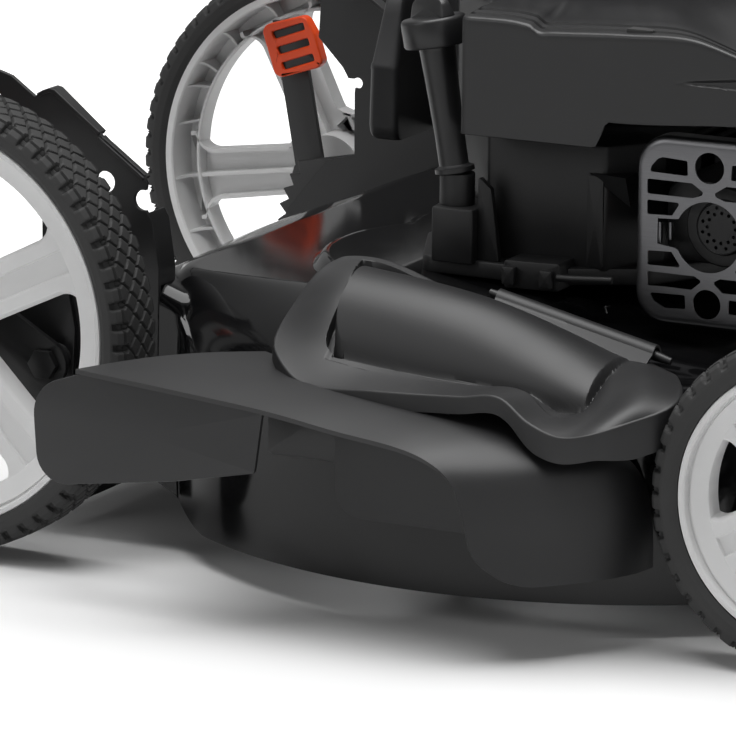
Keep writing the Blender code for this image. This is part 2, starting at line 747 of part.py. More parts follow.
def make_side_door():
    """The moulded cover over the side mouth: flange, raised barrel and lobed front end."""
    edge_x = [(0.0, 0.284), (0.12, 0.300), (0.55, 0.303), (0.78, 0.314), (0.92, 0.309), (1.0, 0.284)]
    edge_z = [(0.0, 0.1540), (0.12, 0.1515), (0.45, 0.1470), (0.57, 0.1480), (0.75, 0.1340), (0.88, 0.1240),
              (1.0, 0.1330)]
    front_y = [(0.0, -0.021), (0.3, -0.009), (0.55, 0.0), (0.8, -0.002), (1.0, -0.012)]
    rear_y = [(0.0, 0.012), (0.25, 0.004), (0.5, -0.005), (0.8, -0.017), (1.0, -0.008)]
    hinge_x = DOOR_HINGE_X + DOOR_ROD_R + 0.0014
    rows = []
    count = 15
    for j in range(count):
        along = j / (count - 1)
        y = DOOR_REAR_Y + (DOOR_FRONT_Y - DOOR_REAR_Y) * along
        out_x = curve_through(edge_x, along)
        out_z = curve_through(edge_z, along)
        in_z = DOOR_REAR_Z + (DOOR_FRONT_Z - DOOR_REAR_Z) * along
        swell = math.sin(math.pi * min(1.0, max(0.0, (along - 0.07) / 0.86))) ** 0.35
        row = []
        for share, lift in (
            (0.0, 0.0), (0.10, 0.05), (0.18, 0.45), (0.30, 0.85), (0.44, 1.0),
            (0.58, 0.88), (0.69, 0.50), (0.74, 0.08), (0.95, 0.0),
        ):
            x = hinge_x + (out_x - hinge_x) * share
            z = in_z + (out_z - in_z) * share ** 0.9 + BARREL_RISE * lift * swell
            shift = curve_through(rear_y, share) * (1 - along) + curve_through(front_y, share) * along
            row.append((x, y + shift, z))
        row.append((out_x, y + shift, out_z - 0.004))
        row.append((out_x + 0.001, y + shift, out_z - DOOR_LIP))
        rows.append(row)
    door = thicken("side_door", rows, DOOR_WALL, DARK_PLASTIC)
    knuckles = []
    bores = []
    for y in KNUCKLE_YS:
        ends = (y, y + KNUCKLE_L)
        low = DOOR_REAR_Z + (DOOR_FRONT_Z - DOOR_REAR_Z) * (ends[1] - DOOR_REAR_Y) / (DOOR_FRONT_Y - DOOR_REAR_Y)
        block = []
        hole = []
        for end in ends:
            z = hinge_height(end)
            left = DOOR_HINGE_X - DOOR_ROD_R - 0.0020
            right = hinge_x + 0.0030
            block.append([(left, end, low - 0.0035), (right, end, low - 0.0035),
                          (right, end, z + 0.0048), (left, end, z + 0.0048)])
        for end in (ends[0] - 0.01, ends[1] + 0.01):
            hole.append([(x, end, z) for x, z in circle(DOOR_ROD_R + RUN_GAP, 12, (DOOR_HINGE_X, hinge_height(end)))])
        knuckles.append(loft("knuckle", block))
        bores.append(loft("bore", hole))
    fuse(door, *knuckles)
    carve(door, *bores)
    hang(door, None, (DOOR_HINGE_X, DOOR_ROD_REAR_Y, hinge_height(DOOR_ROD_REAR_Y)))
    loops = []
    for y in (DOOR_ROD_REAR_Y, DOOR_ROD_FRONT_Y):
        loops.append([(x, y, z) for x, z in circle(DOOR_ROD_R, 12, (DOOR_HINGE_X, hinge_height(y)))])
    hang(loft("side_door_rod", loops, BRIGHT_STEEL))


def make_deflector():
    """The chute under the door: a top sheet that turns down into the front wall, a rear wall and a guide."""
    lip = [(CHUTE_REAR_Y, 0.1400), (0.205, 0.1350), (0.262, 0.1300), (0.308, 0.1235), (0.345, 0.1190),
           (0.366, 0.1130), (0.380, 0.1030), (0.387, 0.0860), (0.392, 0.0660), (0.400, CHUTE_BOTTOM_Z)]
    root = [(0.215, 0.1400), (0.250, 0.1375), (0.290, 0.1350), (0.330, 0.1320), (0.375, 0.1270),
            (0.415, 0.1225), (0.445, 0.1130), (0.457, 0.0960), (0.461, 0.0700), (0.461, CHUTE_BOTTOM_Z)]
    root_x = [0.2525, 0.266, 0.271, 0.2765, 0.2785, 0.2770, 0.2690, 0.2590, 0.2550, 0.2530]
    rows = []
    shares = (0.0, 0.2, 0.4, 0.6, 0.8, 1.0)
    for (lip_y, lip_z), (root_y, root_z), x0 in zip(lip, root, root_x):
        row = []
        for share in shares:
            sweep = 1 - (1 - share) ** 1.0
            x = x0 + (CHUTE_OUT_X - x0) * sweep
            drop = math.sin(math.pi * share) * 0.003
            front = max(0.0, (root_y - 0.375) / 0.08)
            y = root_y + (lip_y - root_y) * share ** (1 + 0.8 * min(1.0, front))
            row.append((x, y, root_z + (lip_z - root_z) * share + drop * (1 - front)))
        rows.append(row)
    chute = thicken("side_deflector", rows, CHUTE_WALL, DARK_PLASTIC)
    wall = [(0.126, 0.128), (CHUTE_REAR_Y, 0.1385), (0.205, 0.1335), (0.262, 0.1285), (0.258, 0.096),
            (0.207, 0.083), (0.142, 0.069), (0.126, 0.072), (0.117, 0.085), (0.1145, 0.104)]
    rear_wall = plate("rear_wall", wall, CHUTE_OUT_X - 0.0035, CHUTE_OUT_X - 0.0005)
    guide = rounded([(0.276, 0.058), (0.430, 0.058), (0.430, 0.112), (0.395, 0.118), (0.276, 0.1345)], 0.010, 3)
    guide_wall = plate("guide_wall", guide, GUIDE_X, GUIDE_X + CHUTE_WALL)
    seat = box("seat", (DECK_R + GAP, CRANK_Y - 0.014, 0.061), (GUIDE_X + 0.001, CRANK_Y + 0.014, 0.081))
    return hang(fuse(chute, rear_wall, guide_wall, seat))


def make_rear_end():
    """The rear door on its rod, and the trailing flap under it."""
    rod_y = TAIL_REAR_Y - REAR_ROD_R - GAP
    rod_z = TAIL_TOP_Z - 0.004
    reach = TAIL_HALF_X - DECK_WALL - GAP
    ear_in = reach - 0.006
    hang(rod("rear_door_rod", (-ear_in, rod_y, rod_z), (ear_in, rod_y, rod_z), REAR_ROD_R, 12, BRIGHT_STEEL))
    top = rod_z - REAR_ROD_R - GAP
    door_y = rod_y + 0.002
    profile = [(door_y, top), (door_y - 0.020, 0.075), (door_y - 0.024, 0.060),
               (door_y - 0.024 - REAR_DOOR_T, 0.060), (door_y - 0.020 - REAR_DOOR_T, 0.077),
               (door_y - REAR_DOOR_T, top)]
    door = plate("rear_door", profile, -REAR_DOOR_HALF_X, REAR_DOOR_HALF_X, DARK_PLASTIC)
    hang(door, None, (0.0, rod_y, rod_z))
    flap_y = 0.0375
    flap = box("rear_flap", (-REAR_DOOR_HALF_X, flap_y, 0.0100), (REAR_DOOR_HALF_X, flap_y + FLAP_T, 0.0560),
               TYRE_RUBBER)
    pins = rod("pins", (-reach, flap_y + FLAP_T / 2, 0.052), (reach, flap_y + FLAP_T / 2, 0.052), 0.0040, 10)
    hang(fuse(flap, pins), None, (0.0, flap_y + FLAP_T / 2, 0.052))


def filler_ends():
    """The foot and the head of the oil filler tube."""
    return Vector((FILLER_X, FILLER_FOOT_Y, FILLER_FOOT_Z)), Vector((FILLER_X, CAP_TOP_Y, CAP_TOP_Z))


def make_crankcase():
    """Sump, case and the tower that carries the filler tube, with the crank bore through them."""
    sump = [(-CASE_HALF_X, CASE_REAR_Y), (0.085, CASE_REAR_Y - 0.004), (0.145, 0.262), (0.145, 0.340),
            (0.115, 0.395), (0.06, 0.425), (-0.06, 0.425), (-CASE_HALF_X, 0.395)]
    base_top = ENGINE_Z + SUMP_T
    case = slab("crankcase", rounded(sump, 0.010, 2), ENGINE_Z, base_top, CAST_METAL)
    left = 0.008 - CASE_HALF_X
    body = [(left, CASE_REAR_Y + 0.010), (0.085, CASE_REAR_Y + 0.010), (CASE_RIGHT_X, 0.297),
            (CASE_RIGHT_X, 0.372), (0.095, CASE_FRONT_Y), (left, CASE_FRONT_Y)]
    block = slab("block", rounded(body, 0.006, 2), base_top - 0.002, CASE_TOP_Z)
    tower = slab("tower", rounded([(0.100, 0.254), (0.150, 0.254), (0.150, 0.296), (0.100, 0.296)], 0.004, 2),
                 base_top - 0.002, FILLER_FOOT_Z - 0.022)
    foot, head = filler_ends()
    up = (head - foot).normalized()
    boss = rod("boss", foot - up * 0.032, foot - up * GAP, 0.0125, 18)
    lug = box("lug", (0.120, 0.322, base_top - 0.004), (0.152, 0.354, base_top + 0.016))
    ears = []
    for near, far in ((0.100, SHROUD_RIGHT_X - SHROUD_WALL - GAP), (-0.066, SHROUD_LEFT_X + SHROUD_WALL + GAP)):
        side = math.copysign(1.0, far)
        post = sorted((near, near + side * 0.024))
        arm = sorted((near + side * 0.018, far))
        ears.append(box("post", (post[0], EAR_Y, CASE_TOP_Z - 0.006), (post[1], EAR_Y + 0.024, EAR_Z + 0.007)))
        ears.append(box("arm", (arm[0], EAR_Y + 0.002, EAR_Z), (arm[1], EAR_Y + 0.022, EAR_Z + 0.006)))
    rest = box("rest", (-0.064, TANK_Y[1] - 0.0025, TANK_Z[0] + 0.008), (-0.004, CASE_REAR_Y + 0.014, CASE_TOP_Z - 0.003))
    fuse(case, block, tower, boss, lug, *ears, rest)
    bore = slab("bore", circle(CRANK_R + RUN_GAP, 20, (0.0, CRANK_Y)), ENGINE_Z - 0.01, CASE_TOP_Z + 0.01)
    return hang(carve(case, bore))


def make_cylinder():
    """The finned cylinder and head, which point forwards."""
    outline = []
    fins = 6
    pitch = 0.0130
    start = CASE_FRONT_Y + GAP
    for i in range(fins):
        y = start + 0.004 + i * pitch
        outline += [(0.030, y), (0.066, y), (0.066, y + 0.005), (0.030, y + 0.005)]
    end = start + 0.004 + fins * pitch
    right = [(0.030, start)] + outline + [(0.060, end), (0.060, end + 0.022)]
    left = [(-x, y) for x, y in reversed(right)]
    barrel = slab("cylinder", right + left, 0.190, 0.256, CAST_METAL)
    return hang(barrel), end + 0.022


def make_spark_plug(head_y):
    """The plug in the head's front, with its boot."""
    z = 0.2240
    middle = (0.0, head_y, z)
    plug = rod("spark_plug", (0.0, head_y + GAP, z), (0.0, head_y + 0.010, z), 0.0100, 6, BRIGHT_STEEL)
    fuse(plug, rod("neck", (0.0, head_y + 0.008, z), (0.0, head_y + 0.024, z), 0.0050, 12))
    hang(plug)
    boot = rod("plug_boot", (0.0, head_y + 0.0243, z), (0.0, head_y + 0.050, z), 0.0085, 14, TYRE_RUBBER)
    elbow = rod("elbow", (0.0, head_y + 0.042, z - 0.004), (0.0, head_y + 0.042, z + 0.026), 0.0075, 14)
    hang(fuse(boot, elbow))
    return middle


def make_shroud():
    """The blower shroud: a thin shell with a flat right side, stepped lower edge and a round top hole."""
    corners = [
        (SHROUD_RIGHT_X, SHROUD_SIDE_REAR_Y), (SHROUD_RIGHT_X, SHROUD_STEP_Y),
        (SHROUD_RIGHT_X, SHROUD_STEP_Y + 0.008), (SHROUD_RIGHT_X, 0.486),
        (SHROUD_RIGHT_X - 0.008, 0.512), (SHROUD_RIGHT_X - 0.034, 0.530),
        (0.070, SHROUD_FRONT_Y), (0.0, SHROUD_FRONT_Y + 0.004), (-0.070, SHROUD_FRONT_Y),
        (SHROUD_LEFT_X + 0.034, 0.526), (SHROUD_LEFT_X + 0.008, 0.505), (SHROUD_LEFT_X, 0.470),
        (SHROUD_LEFT_X, 0.400), (SHROUD_LEFT_X, 0.330), (SHROUD_LEFT_X + 0.006, 0.272),
        (SHROUD_LEFT_X + 0.040, 0.238), (-0.080, SHROUD_REAR_Y), (-0.020, SHROUD_REAR_Y),
        (0.040, SHROUD_REAR_Y + 0.004), (0.080, 0.252), (0.104, 0.284), (0.125, SHROUD_SIDE_REAR_Y),
    ]
    crank = Vector((0.0, CRANK_Y))

    def loop(inset, z, stepped=False):
        points = []
        for corner in corners:
            out = Vector(corner) - crank
            spot = crank + out * (1 - inset / out.length)
            height = z
            if stepped and corner[1] > SHROUD_STEP_Y + 0.004:
                height = SHROUD_STEP_Z
            points.append((spot.x, spot.y, height))
        return points

    def ring(radius, z):
        points = []
        for corner in corners:
            out = (Vector(corner) - crank).normalized() * radius
            points.append((out.x, CRANK_Y + out.y, z))
        return points

    wall = SHROUD_WALL
    shoulder = SHROUD_TOP_Z - 0.006
    loops = [
        loop(0.0, SHROUD_BOTTOM_Z, True), loop(0.0, shoulder), loop(0.007, SHROUD_TOP_Z),
        ring(SHROUD_HOLE_R, SHROUD_TOP_Z + 0.002), ring(SHROUD_HOLE_R, SHROUD_TOP_Z + 0.002 - wall),
        loop(0.007 + wall, SHROUD_TOP_Z - wall), loop(wall, shoulder - wall / 2),
        loop(wall, SHROUD_BOTTOM_Z, True),
    ]
    hang(loft("blower_shroud", loops, DARK_PLASTIC, closed=True))


def make_starter():
    """The recoil housing over the shroud's hole, and the starter handle in its seat."""
    z = SHROUD_TOP_Z + 0.002 + GAP
    wall = RECOIL_WALL
    profile = [(RECOIL_R, 0.0), (RECOIL_R, 0.014), (0.094, 0.030), (0.070, RECOIL_H - 0.003), (0.030, RECOIL_H),
               (0.030, RECOIL_H - wall), (0.069, RECOIL_H - 0.003 - wall), (0.0925, 0.027), (RECOIL_R - wall, 0.013),
               (RECOIL_R - wall, 0.0)]
    housing = turned("recoil_housing", profile, (0.0, CRANK_Y, z), "Z", 36, DARK_PLASTIC)
    middle = slab("middle", circle(0.033, 24, (0.0, CRANK_Y)), z + RECOIL_H - wall, z + RECOIL_H + 0.003)
    seat = box("seat", (-0.062, CRANK_Y - 0.096, z + 0.006), (-0.030, CRANK_Y - 0.060, z + 0.036))
    hang(fuse(housing, middle, seat))
    grip_y = CRANK_Y - 0.096 - GAP
    grip_z = z + 0.024
    grip = rod("starter_handle", (-0.046, grip_y, grip_z), (-0.046, grip_y - 0.018, grip_z), 0.0090, 14, DARK_PLASTIC)
    bar = rod("bar", (-0.092, grip_y - 0.020, grip_z), (0.000, grip_y - 0.020, grip_z), 0.0095, 14)
    hang(fuse(grip, bar))


def make_tank():
    """The fuel tank behind the shroud, with its screw cap."""
    outline = rounded([(TANK_X[0], TANK_Y[0]), (TANK_X[1], TANK_Y[0]), (TANK_X[1], TANK_Y[1]),
                       (TANK_X[0], TANK_Y[1])], 0.014, 3)
    middle_x = sum(TANK_X) / 2
    middle_y = sum(TANK_Y) / 2

    def level(shrink, z, lean):
        return [(middle_x + (x - middle_x) * shrink, middle_y + (y - middle_y) * shrink + lean, z)
                for x, y in outline]

    rise = TANK_Z[1] - TANK_Z[0]
    levels = [level(0.90, TANK_Z[0], -0.004), level(1.0, TANK_Z[0] + 0.06 * rise, -0.004),
              level(0.97, TANK_Z[1] - 0.12 * rise, 0.0), level(0.86, TANK_Z[1], 0.0)]
    hang(loft("fuel_tank", levels, DARK_PLASTIC))
    cap_x = TANK_X[0] + 0.055
    cap = turned("fuel_cap", [(0.0230, GAP), (0.0230, 0.014), (0.0200, 0.018)], (cap_x, middle_y, TANK_Z[1]),
                 "Z", 20, DARK_PLASTIC, ring=False)
    hang(cap, None, (cap_x, middle_y, TANK_Z[1]))


def make_filter():
    """The air filter cover on the shroud's left side."""
    far = SHROUD_LEFT_X - GAP
    cover = [(0.362, 0.250), (0.468, 0.250), (0.468, 0.322), (0.362, 0.322)]
    outline = rounded(cover, 0.012, 3)
    small = [(0.415 + (y - 0.415) * 0.88, 0.286 + (z - 0.286) * 0.88) for y, z in outline]
    loops = [along_x(outline, far), along_x(outline, far - 0.026), along_x(small, far - 0.034)]
    hang(loft("air_filter_cover", loops, DARK_PLASTIC))


def make_muffler():
    """The muffler on the cylinder's right, and its pierced guard."""
    near = 0.066 + GAP
    outline = rounded([(0.416, 0.196), (0.496, 0.196), (0.496, 0.246), (0.416, 0.246)], 0.012, 3)
    back = GUARD_FACE_X - GUARD_DEPTH - GAP
    muffler = plate("muffler", outline, near, back, CAST_METAL)
    tab = box("tab", (back - 0.004, GUARD_Y - 0.012, GUARD_Z - 0.047), (back, GUARD_Y + 0.012, GUARD_Z - 0.020))
    hang(fuse(muffler, tab))
    corners = [(GUARD_Y - GUARD_HALF_Y, GUARD_Z - GUARD_HALF_Z), (GUARD_Y + GUARD_HALF_Y, GUARD_Z - GUARD_HALF_Z),
               (GUARD_Y + GUARD_HALF_Y, GUARD_Z + GUARD_HALF_Z), (GUARD_Y - GUARD_HALF_Y, GUARD_Z + GUARD_HALF_Z)]
    outer = rounded(corners, GUARD_CORNER_R, 5)

    def inset(amount):
        scale_y = 1 - amount / GUARD_HALF_Y
        scale_z = 1 - amount / GUARD_HALF_Z
        return [(GUARD_Y + (y - GUARD_Y) * scale_y, GUARD_Z + (z - GUARD_Z) * scale_z) for y, z in outer]

    base_x = GUARD_FACE_X - GUARD_DEPTH
    inner_x = GUARD_FACE_X - GUARD_SHEET
    guard = loft("muffler_guard", [
        along_x(inset(GUARD_SHEET), inner_x - 0.002), along_x(inset(GUARD_SHEET), base_x), along_x(outer, base_x),
        along_x(outer, GUARD_FACE_X - 0.004), along_x(inset(0.004), GUARD_FACE_X),
    ], BRIGHT_STEEL)
    web = plate("web", rounded([(GUARD_Y - 0.008, GUARD_Z - 0.050), (GUARD_Y + 0.008, GUARD_Z - 0.050),
                                (GUARD_Y + 0.008, GUARD_Z - 0.030), (GUARD_Y - 0.008, GUARD_Z - 0.030)], 0.002, 1),
                base_x, inner_x)
    fuse(guard, web)
    cuts = [plate("hole", circle(GUARD_HOLE_R, 24, (GUARD_Y, GUARD_Z)), inner_x - 0.01, GUARD_FACE_X + 0.01)]
    for lift in (-0.0410, 0.0390):
        cuts.append(plate("hole", circle(GUARD_SMALL_R, 14, (GUARD_Y, GUARD_Z + lift)), inner_x - 0.01,
                          GUARD_FACE_X + 0.01))
    for flip in (-1.0, 1.0):
        for lift, near_y in ((0.0385, 0.0165), (0.0260, 0.0130), (-0.0270, 0.0130), (-0.0395, 0.0165)):
            far_y = GUARD_HALF_Y - 0.009
            ys = sorted((GUARD_Y + flip * near_y, GUARD_Y + flip * far_y))
            if abs(lift) < 0.03:
                ys = sorted((GUARD_Y + flip * (near_y + 0.006), GUARD_Y + flip * far_y))
            slot = [(ys[0], GUARD_Z + lift - 0.0035), (ys[1], GUARD_Z + lift - 0.0035),
                    (ys[1], GUARD_Z + lift + 0.0035), (ys[0], GUARD_Z + lift + 0.0035)]
            cuts.append(plate("slot", slot, inner_x - 0.01, GUARD_FACE_X + 0.01))
    hang(carve(guard, *cuts))


def make_filler():
    """The tapered oil filler tube and its twist cap with a bar grip."""
    foot, head = filler_ends()
    turn = (head - foot).to_track_quat("Z", "X")
    up = (head - foot).normalized()
    length = (head - foot).length
    loops = []
    for radius, along in ((0.0085, 0.0), (0.0125, 0.0), (0.0125, 0.004), (0.0085, 0.006), (0.0090, 0.020),
                          (0.0140, length - 0.012), (0.0160, length - 0.004), (0.0160, length)):
        loops.append([foot + up * along + turn @ Vector((x, y, 0.0)) for x, y in circle(radius, 18)])
    hang(loft("oil_filler_tube", loops, DARK_PLASTIC))
    loops = []
    base = head + up * GAP
    for radius, along in ((0.0215, 0.0), (0.0225, 0.0015), (0.0225, 0.0140), (0.0205, 0.0160)):
        loops.append([base + up * along + turn @ Vector((x, y, 0.0)) for x, y in circle(radius, 24)])
    cap = loft("dipstick_cap", loops, DARK_PLASTIC)
    bar_loops = []
    for along in (0.0120, 0.0230):
        half_w = 0.0045 if along > 0.02 else 0.0055
        corners = ((-0.019, -half_w), (0.019, -half_w), (0.019, half_w), (-0.019, half_w))
        bar_loops.append([base + up * along + turn @ Vector((x, y, 0.0)) for x, y in corners])
    bar = loft("bar", bar_loops)
    hang(fuse(cap, bar), None, head)


def make_running_gear():
    """Crankshaft, flywheel, blade adapter, blade and its bolt, all on the crank axis."""
    middle = Vector((0.0, CRANK_Y, 0.0))
    adapter_top = BLADE_Z + 0.026
    top = SHROUD_TOP_Z - 0.016
    shaft = rod("crankshaft", middle + Vector((0, 0, BLADE_Z + 0.0100 + GAP)), middle + Vector((0, 0, top)), CRANK_R, 20,
                BRIGHT_STEEL)
    hang(shaft, None, middle + Vector((0, 0, ENGINE_Z)))
    fly_z = CASE_TOP_Z + 0.016
    flywheel = turned("flywheel", [(CRANK_R + GAP, fly_z), (FLYWHEEL_R, fly_z), (FLYWHEEL_R, fly_z + FLYWHEEL_T),
                                   (0.050, fly_z + FLYWHEEL_T), (0.045, fly_z + 0.012), (CRANK_R + GAP, fly_z + 0.012)],
                      middle, "Z", 32, CAST_METAL)
    hang(flywheel)
    adapter = turned("blade_adapter", [
        (CRANK_R + GAP, BLADE_Z + 0.010), (CRANK_R + GAP, adapter_top), (0.0210, adapter_top),
        (0.0210, BLADE_Z + 0.010), (0.0330, BLADE_Z + 0.010), (0.0330, BLADE_Z + BLADE_T + GAP),
        (0.0060, BLADE_Z + BLADE_T + GAP), (0.0060, BLADE_Z + 0.0100),
    ], middle, "Z", 24, CAST_METAL)
    hang(adapter)
    half = BLADE_LENGTH / 2
    wide = BLADE_W / 2
    tip = half * math.cos(math.asin(wide / half))
    outline = [(-tip, CRANK_Y - wide), (tip - 0.07, CRANK_Y - wide), (tip, CRANK_Y - wide + 0.012),
               (half - 0.001, CRANK_Y), (tip, CRANK_Y + wide), (-tip + 0.07, CRANK_Y + wide),
               (-tip, CRANK_Y + wide - 0.012), (-half + 0.001, CRANK_Y)]
    blade = slab("blade", outline, BLADE_Z, BLADE_Z + BLADE_T, BRIGHT_STEEL)
    sails = []
    for side in (1.0, -1.0):
        edge_y = side * wide
        wing = [(side * (half - 0.080), edge_y - side * 0.012, BLADE_Z + 0.0005),
                (side * (tip - 0.002), edge_y - side * 0.012, BLADE_Z + 0.0005),
                (side * (tip - 0.002), edge_y - side * 0.001, BLADE_Z + 0.0005),
                (side * (half - 0.080), edge_y - side * 0.001, BLADE_Z + 0.0005)]
        low = [(x, CRANK_Y + y, z) for x, y, z in wing]
        high = [(x, CRANK_Y + y, z + 0.016) for x, y, z in wing]
        high = [(x, y + side * 0.002, z) for x, y, z in high]
        sails.append(loft("sail", [low, high]))
    fuse(blade, *sails)
    hole = slab("hole", circle(0.0052, 16, (0.0, CRANK_Y)), BLADE_Z - 0.01, BLADE_Z + 0.01)
    hang(carve(blade, hole))
    bolt = rod("blade_bolt", middle + Vector((0, 0, BLADE_Z - 0.0083)), middle + Vector((0, 0, BLADE_Z - GAP)), 0.0100,
               6, BRIGHT_STEEL)
    shank = rod("shank", middle + Vector((0, 0, BLADE_Z - 0.002)), middle + Vector((0, 0, BLADE_Z + 0.0090)), 0.0048, 14)
    hang(fuse(bolt, shank))


def handle_point(side_x, along, lift=0.0):
    """A point on the handle: across, along its slope from the lower end, and off its plane."""
    y = LOWER_START_Y - along * math.cos(HANDLE_SLOPE) + lift * math.sin(HANDLE_SLOPE)
    z = LOWER_START_Z + along * math.sin(HANDLE_SLOPE) + lift * math.cos(HANDLE_SLOPE)
    return Vector((side_x, y, z))


def make_handle():
    """Lower tubes, folding upper handle, foam grip, knobs and stop bail."""
    lower_x = TAIL_HALF_X - HANDLE_R
    upper_x = lower_x + 2 * HANDLE_R + GAP
    fold = LOWER_LENGTH - FOLD_OVERLAP
    end = fold + UPPER_LENGTH
    pivot = handle_point(0.0, fold)
    bolt_out = upper_x + HANDLE_R + GAP
    for name, side in (("right", 1.0), ("left", -1.0)):
        tube = swept(f"lower_handle_{name}", [handle_point(side * lower_x, 0.0),
                                             handle_point(side * lower_x, LOWER_LENGTH)],
                     HANDLE_R, 14, BLACK_STEEL)
        hole = rod("hole", handle_point(side * (lower_x - 0.03), fold), handle_point(side * (lower_x + 0.03), fold),
                   BOLT_R + GAP, 12)
        hang(carve(tube, hole))
        knob = rod(f"handle_knob_{name}", handle_point(side * (lower_x - HANDLE_R + 0.002), fold),
                   handle_point(side * (bolt_out + 0.002), fold), BOLT_R, 12, DARK_PLASTIC)
        head = rod("head", handle_point(side * bolt_out, fold), handle_point(side * (bolt_out + 0.018), fold), 0.0160,
                   16)
        wing_low = handle_point(side * (bolt_out + 0.006), fold)
        wing = box("wing", (min(wing_low.x, wing_low.x + side * 0.016), wing_low.y - 0.030, wing_low.z - 0.006),
                   (max(wing_low.x, wing_low.x + side * 0.016), wing_low.y + 0.030, wing_low.z + 0.006))
        hang(fuse(knob, head, wing), None, handle_point(side * bolt_out, fold))
    start = fold - FOLD_OVERLAP
    path = [handle_point(upper_x, start)]
    path += bend(handle_point(upper_x, start), handle_point(upper_x, end), handle_point(-upper_x, end), CORNER_R)
    path += bend(handle_point(upper_x, end), handle_point(-upper_x, end), handle_point(-upper_x, start), CORNER_R)
    path.append(handle_point(-upper_x, start))
    upper = swept("upper_handle", path, HANDLE_R, 14, BLACK_STEEL)
    holes = [rod("hole", handle_point(side * (upper_x - 0.03), fold), handle_point(side * (upper_x + 0.03), fold),
                 BOLT_R + GAP, 12) for side in (1.0, -1.0)]
    upper = hang(carve(upper, *holes), None, pivot)
    grip_half = upper_x - CORNER_R - 0.006
    bar = handle_point(0.0, end)
    foam = turned("foam_grip", [(HANDLE_R + GAP, -grip_half), (HANDLE_R + GRIP_WALL, -grip_half),
                                (HANDLE_R + GRIP_WALL, grip_half), (HANDLE_R + GAP, grip_half)],
                  bar, "X", 18, FOAM)
    hang(foam, upper, pivot)
    foam.location = (0.0, 0.0, 0.0)
    bail_pivot = handle_point(0.0, end - BAIL_BACK)
    leg_x = upper_x - HANDLE_R - GAP
    leg_in = leg_x - 0.010

    def bail_point(x, reach):
        angle = HANDLE_SLOPE + 0.0
        y = bail_pivot.y - reach * math.cos(angle + BAIL_REST)
        z = bail_pivot.z + reach * math.sin(angle + BAIL_REST)
        return Vector((x, y, z))

    route = [bail_point(leg_x, 0.0)]
    route += bend(bail_point(leg_x, 0.0), bail_point(leg_in, 0.0), bail_point(leg_in, BAIL_BACK), 0.0060, 3)
    route += bend(bail_point(leg_in, 0.0), bail_point(leg_in, BAIL_BACK), bail_point(-leg_in, BAIL_BACK), 0.020, 4)
    route += bend(bail_point(leg_in, BAIL_BACK), bail_point(-leg_in, BAIL_BACK), bail_point(-leg_in, 0.0), 0.020, 4)
    route += bend(bail_point(-leg_in, BAIL_BACK), bail_point(-leg_in, 0.0), bail_point(-leg_x, 0.0), 0.0060, 3)
    route.append(bail_point(-leg_x, 0.0))
    bail = swept("stop_bail", route, BAIL_R, 8, BLACK_STEEL)
    hang(bail, upper, bail_pivot)
    bail.location = bail_pivot - pivot


def centre_footprint():
    """Moves the whole mower so that its origin is the middle of its footprint."""
    bpy.context.view_layer.update()
    corners = []
    for piece in bpy.context.scene.objects:
        if piece.type == "MESH":
            corners += [piece.matrix_world @ vertex.co for vertex in piece.data.vertices]
    low = Vector([min(c[i] for c in corners) for i in range(3)])
    high = Vector([max(c[i] for c in corners) for i in range(3)])
    ROOT.location = (-(low.x + high.x) / 2, -(low.y + high.y) / 2, -low.z)
    bpy.context.view_layer.update()
    print("size", tuple(round(v, 4) for v in high - low), "shift", tuple(round(v, 6) for v in ROOT.location))


def main():
    make_wheels()
    make_deck()
    make_brackets()
    make_side_door()
    make_deflector()
    make_rear_end()
    make_crankcase()
    _, head_y = make_cylinder()
    make_spark_plug(head_y)
    make_shroud()
    make_starter()
    make_tank()
    make_filter()
    make_muffler()
    make_filler()
    make_running_gear()
    make_handle()
    centre_footprint()


main()
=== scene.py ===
# %% [markdown]
# # A walk-behind lawn mower, dressed for its portrait
# The solids of the mower come in as a frame that never moves. This script covers them with the surfaces
# and finishes that the eye expects: pressed and enamelled steel, moulded plastic, rubber tread and
# brushed metal. Each piece is a sheet of numbers worked out with numpy, and each rides on the part of
# the mower that carries it.

# %% Load the frame
import json
import math

import bmesh
import bpy
import numpy as np
from mathutils import Matrix, Vector
from mathutils.geometry import delaunay_2d_cdt

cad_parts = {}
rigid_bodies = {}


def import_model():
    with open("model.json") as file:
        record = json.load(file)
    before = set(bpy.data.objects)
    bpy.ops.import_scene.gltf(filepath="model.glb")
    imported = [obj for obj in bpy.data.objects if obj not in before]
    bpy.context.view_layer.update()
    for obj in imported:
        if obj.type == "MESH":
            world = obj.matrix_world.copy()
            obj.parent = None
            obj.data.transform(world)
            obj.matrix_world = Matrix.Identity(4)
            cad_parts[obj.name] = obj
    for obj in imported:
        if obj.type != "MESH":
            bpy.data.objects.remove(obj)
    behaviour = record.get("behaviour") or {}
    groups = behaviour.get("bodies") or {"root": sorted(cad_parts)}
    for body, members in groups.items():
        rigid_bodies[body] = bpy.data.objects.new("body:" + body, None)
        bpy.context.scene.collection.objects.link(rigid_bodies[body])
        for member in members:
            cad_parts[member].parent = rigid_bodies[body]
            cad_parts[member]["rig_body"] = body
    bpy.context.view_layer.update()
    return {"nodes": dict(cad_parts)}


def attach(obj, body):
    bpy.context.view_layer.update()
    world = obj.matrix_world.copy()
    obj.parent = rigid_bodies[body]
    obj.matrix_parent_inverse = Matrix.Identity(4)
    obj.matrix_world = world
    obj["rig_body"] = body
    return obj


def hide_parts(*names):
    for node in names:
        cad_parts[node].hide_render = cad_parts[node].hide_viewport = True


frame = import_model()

nodes = frame["nodes"]

# %% [markdown]
# The mower was measured in a frame of its own: Y is zero at the rear axle, X at the middle plane and Z on
# the ground. The solids were then moved to the middle of their footprint. One vector joins the two
# frames, so every number below can be read on the mower itself.

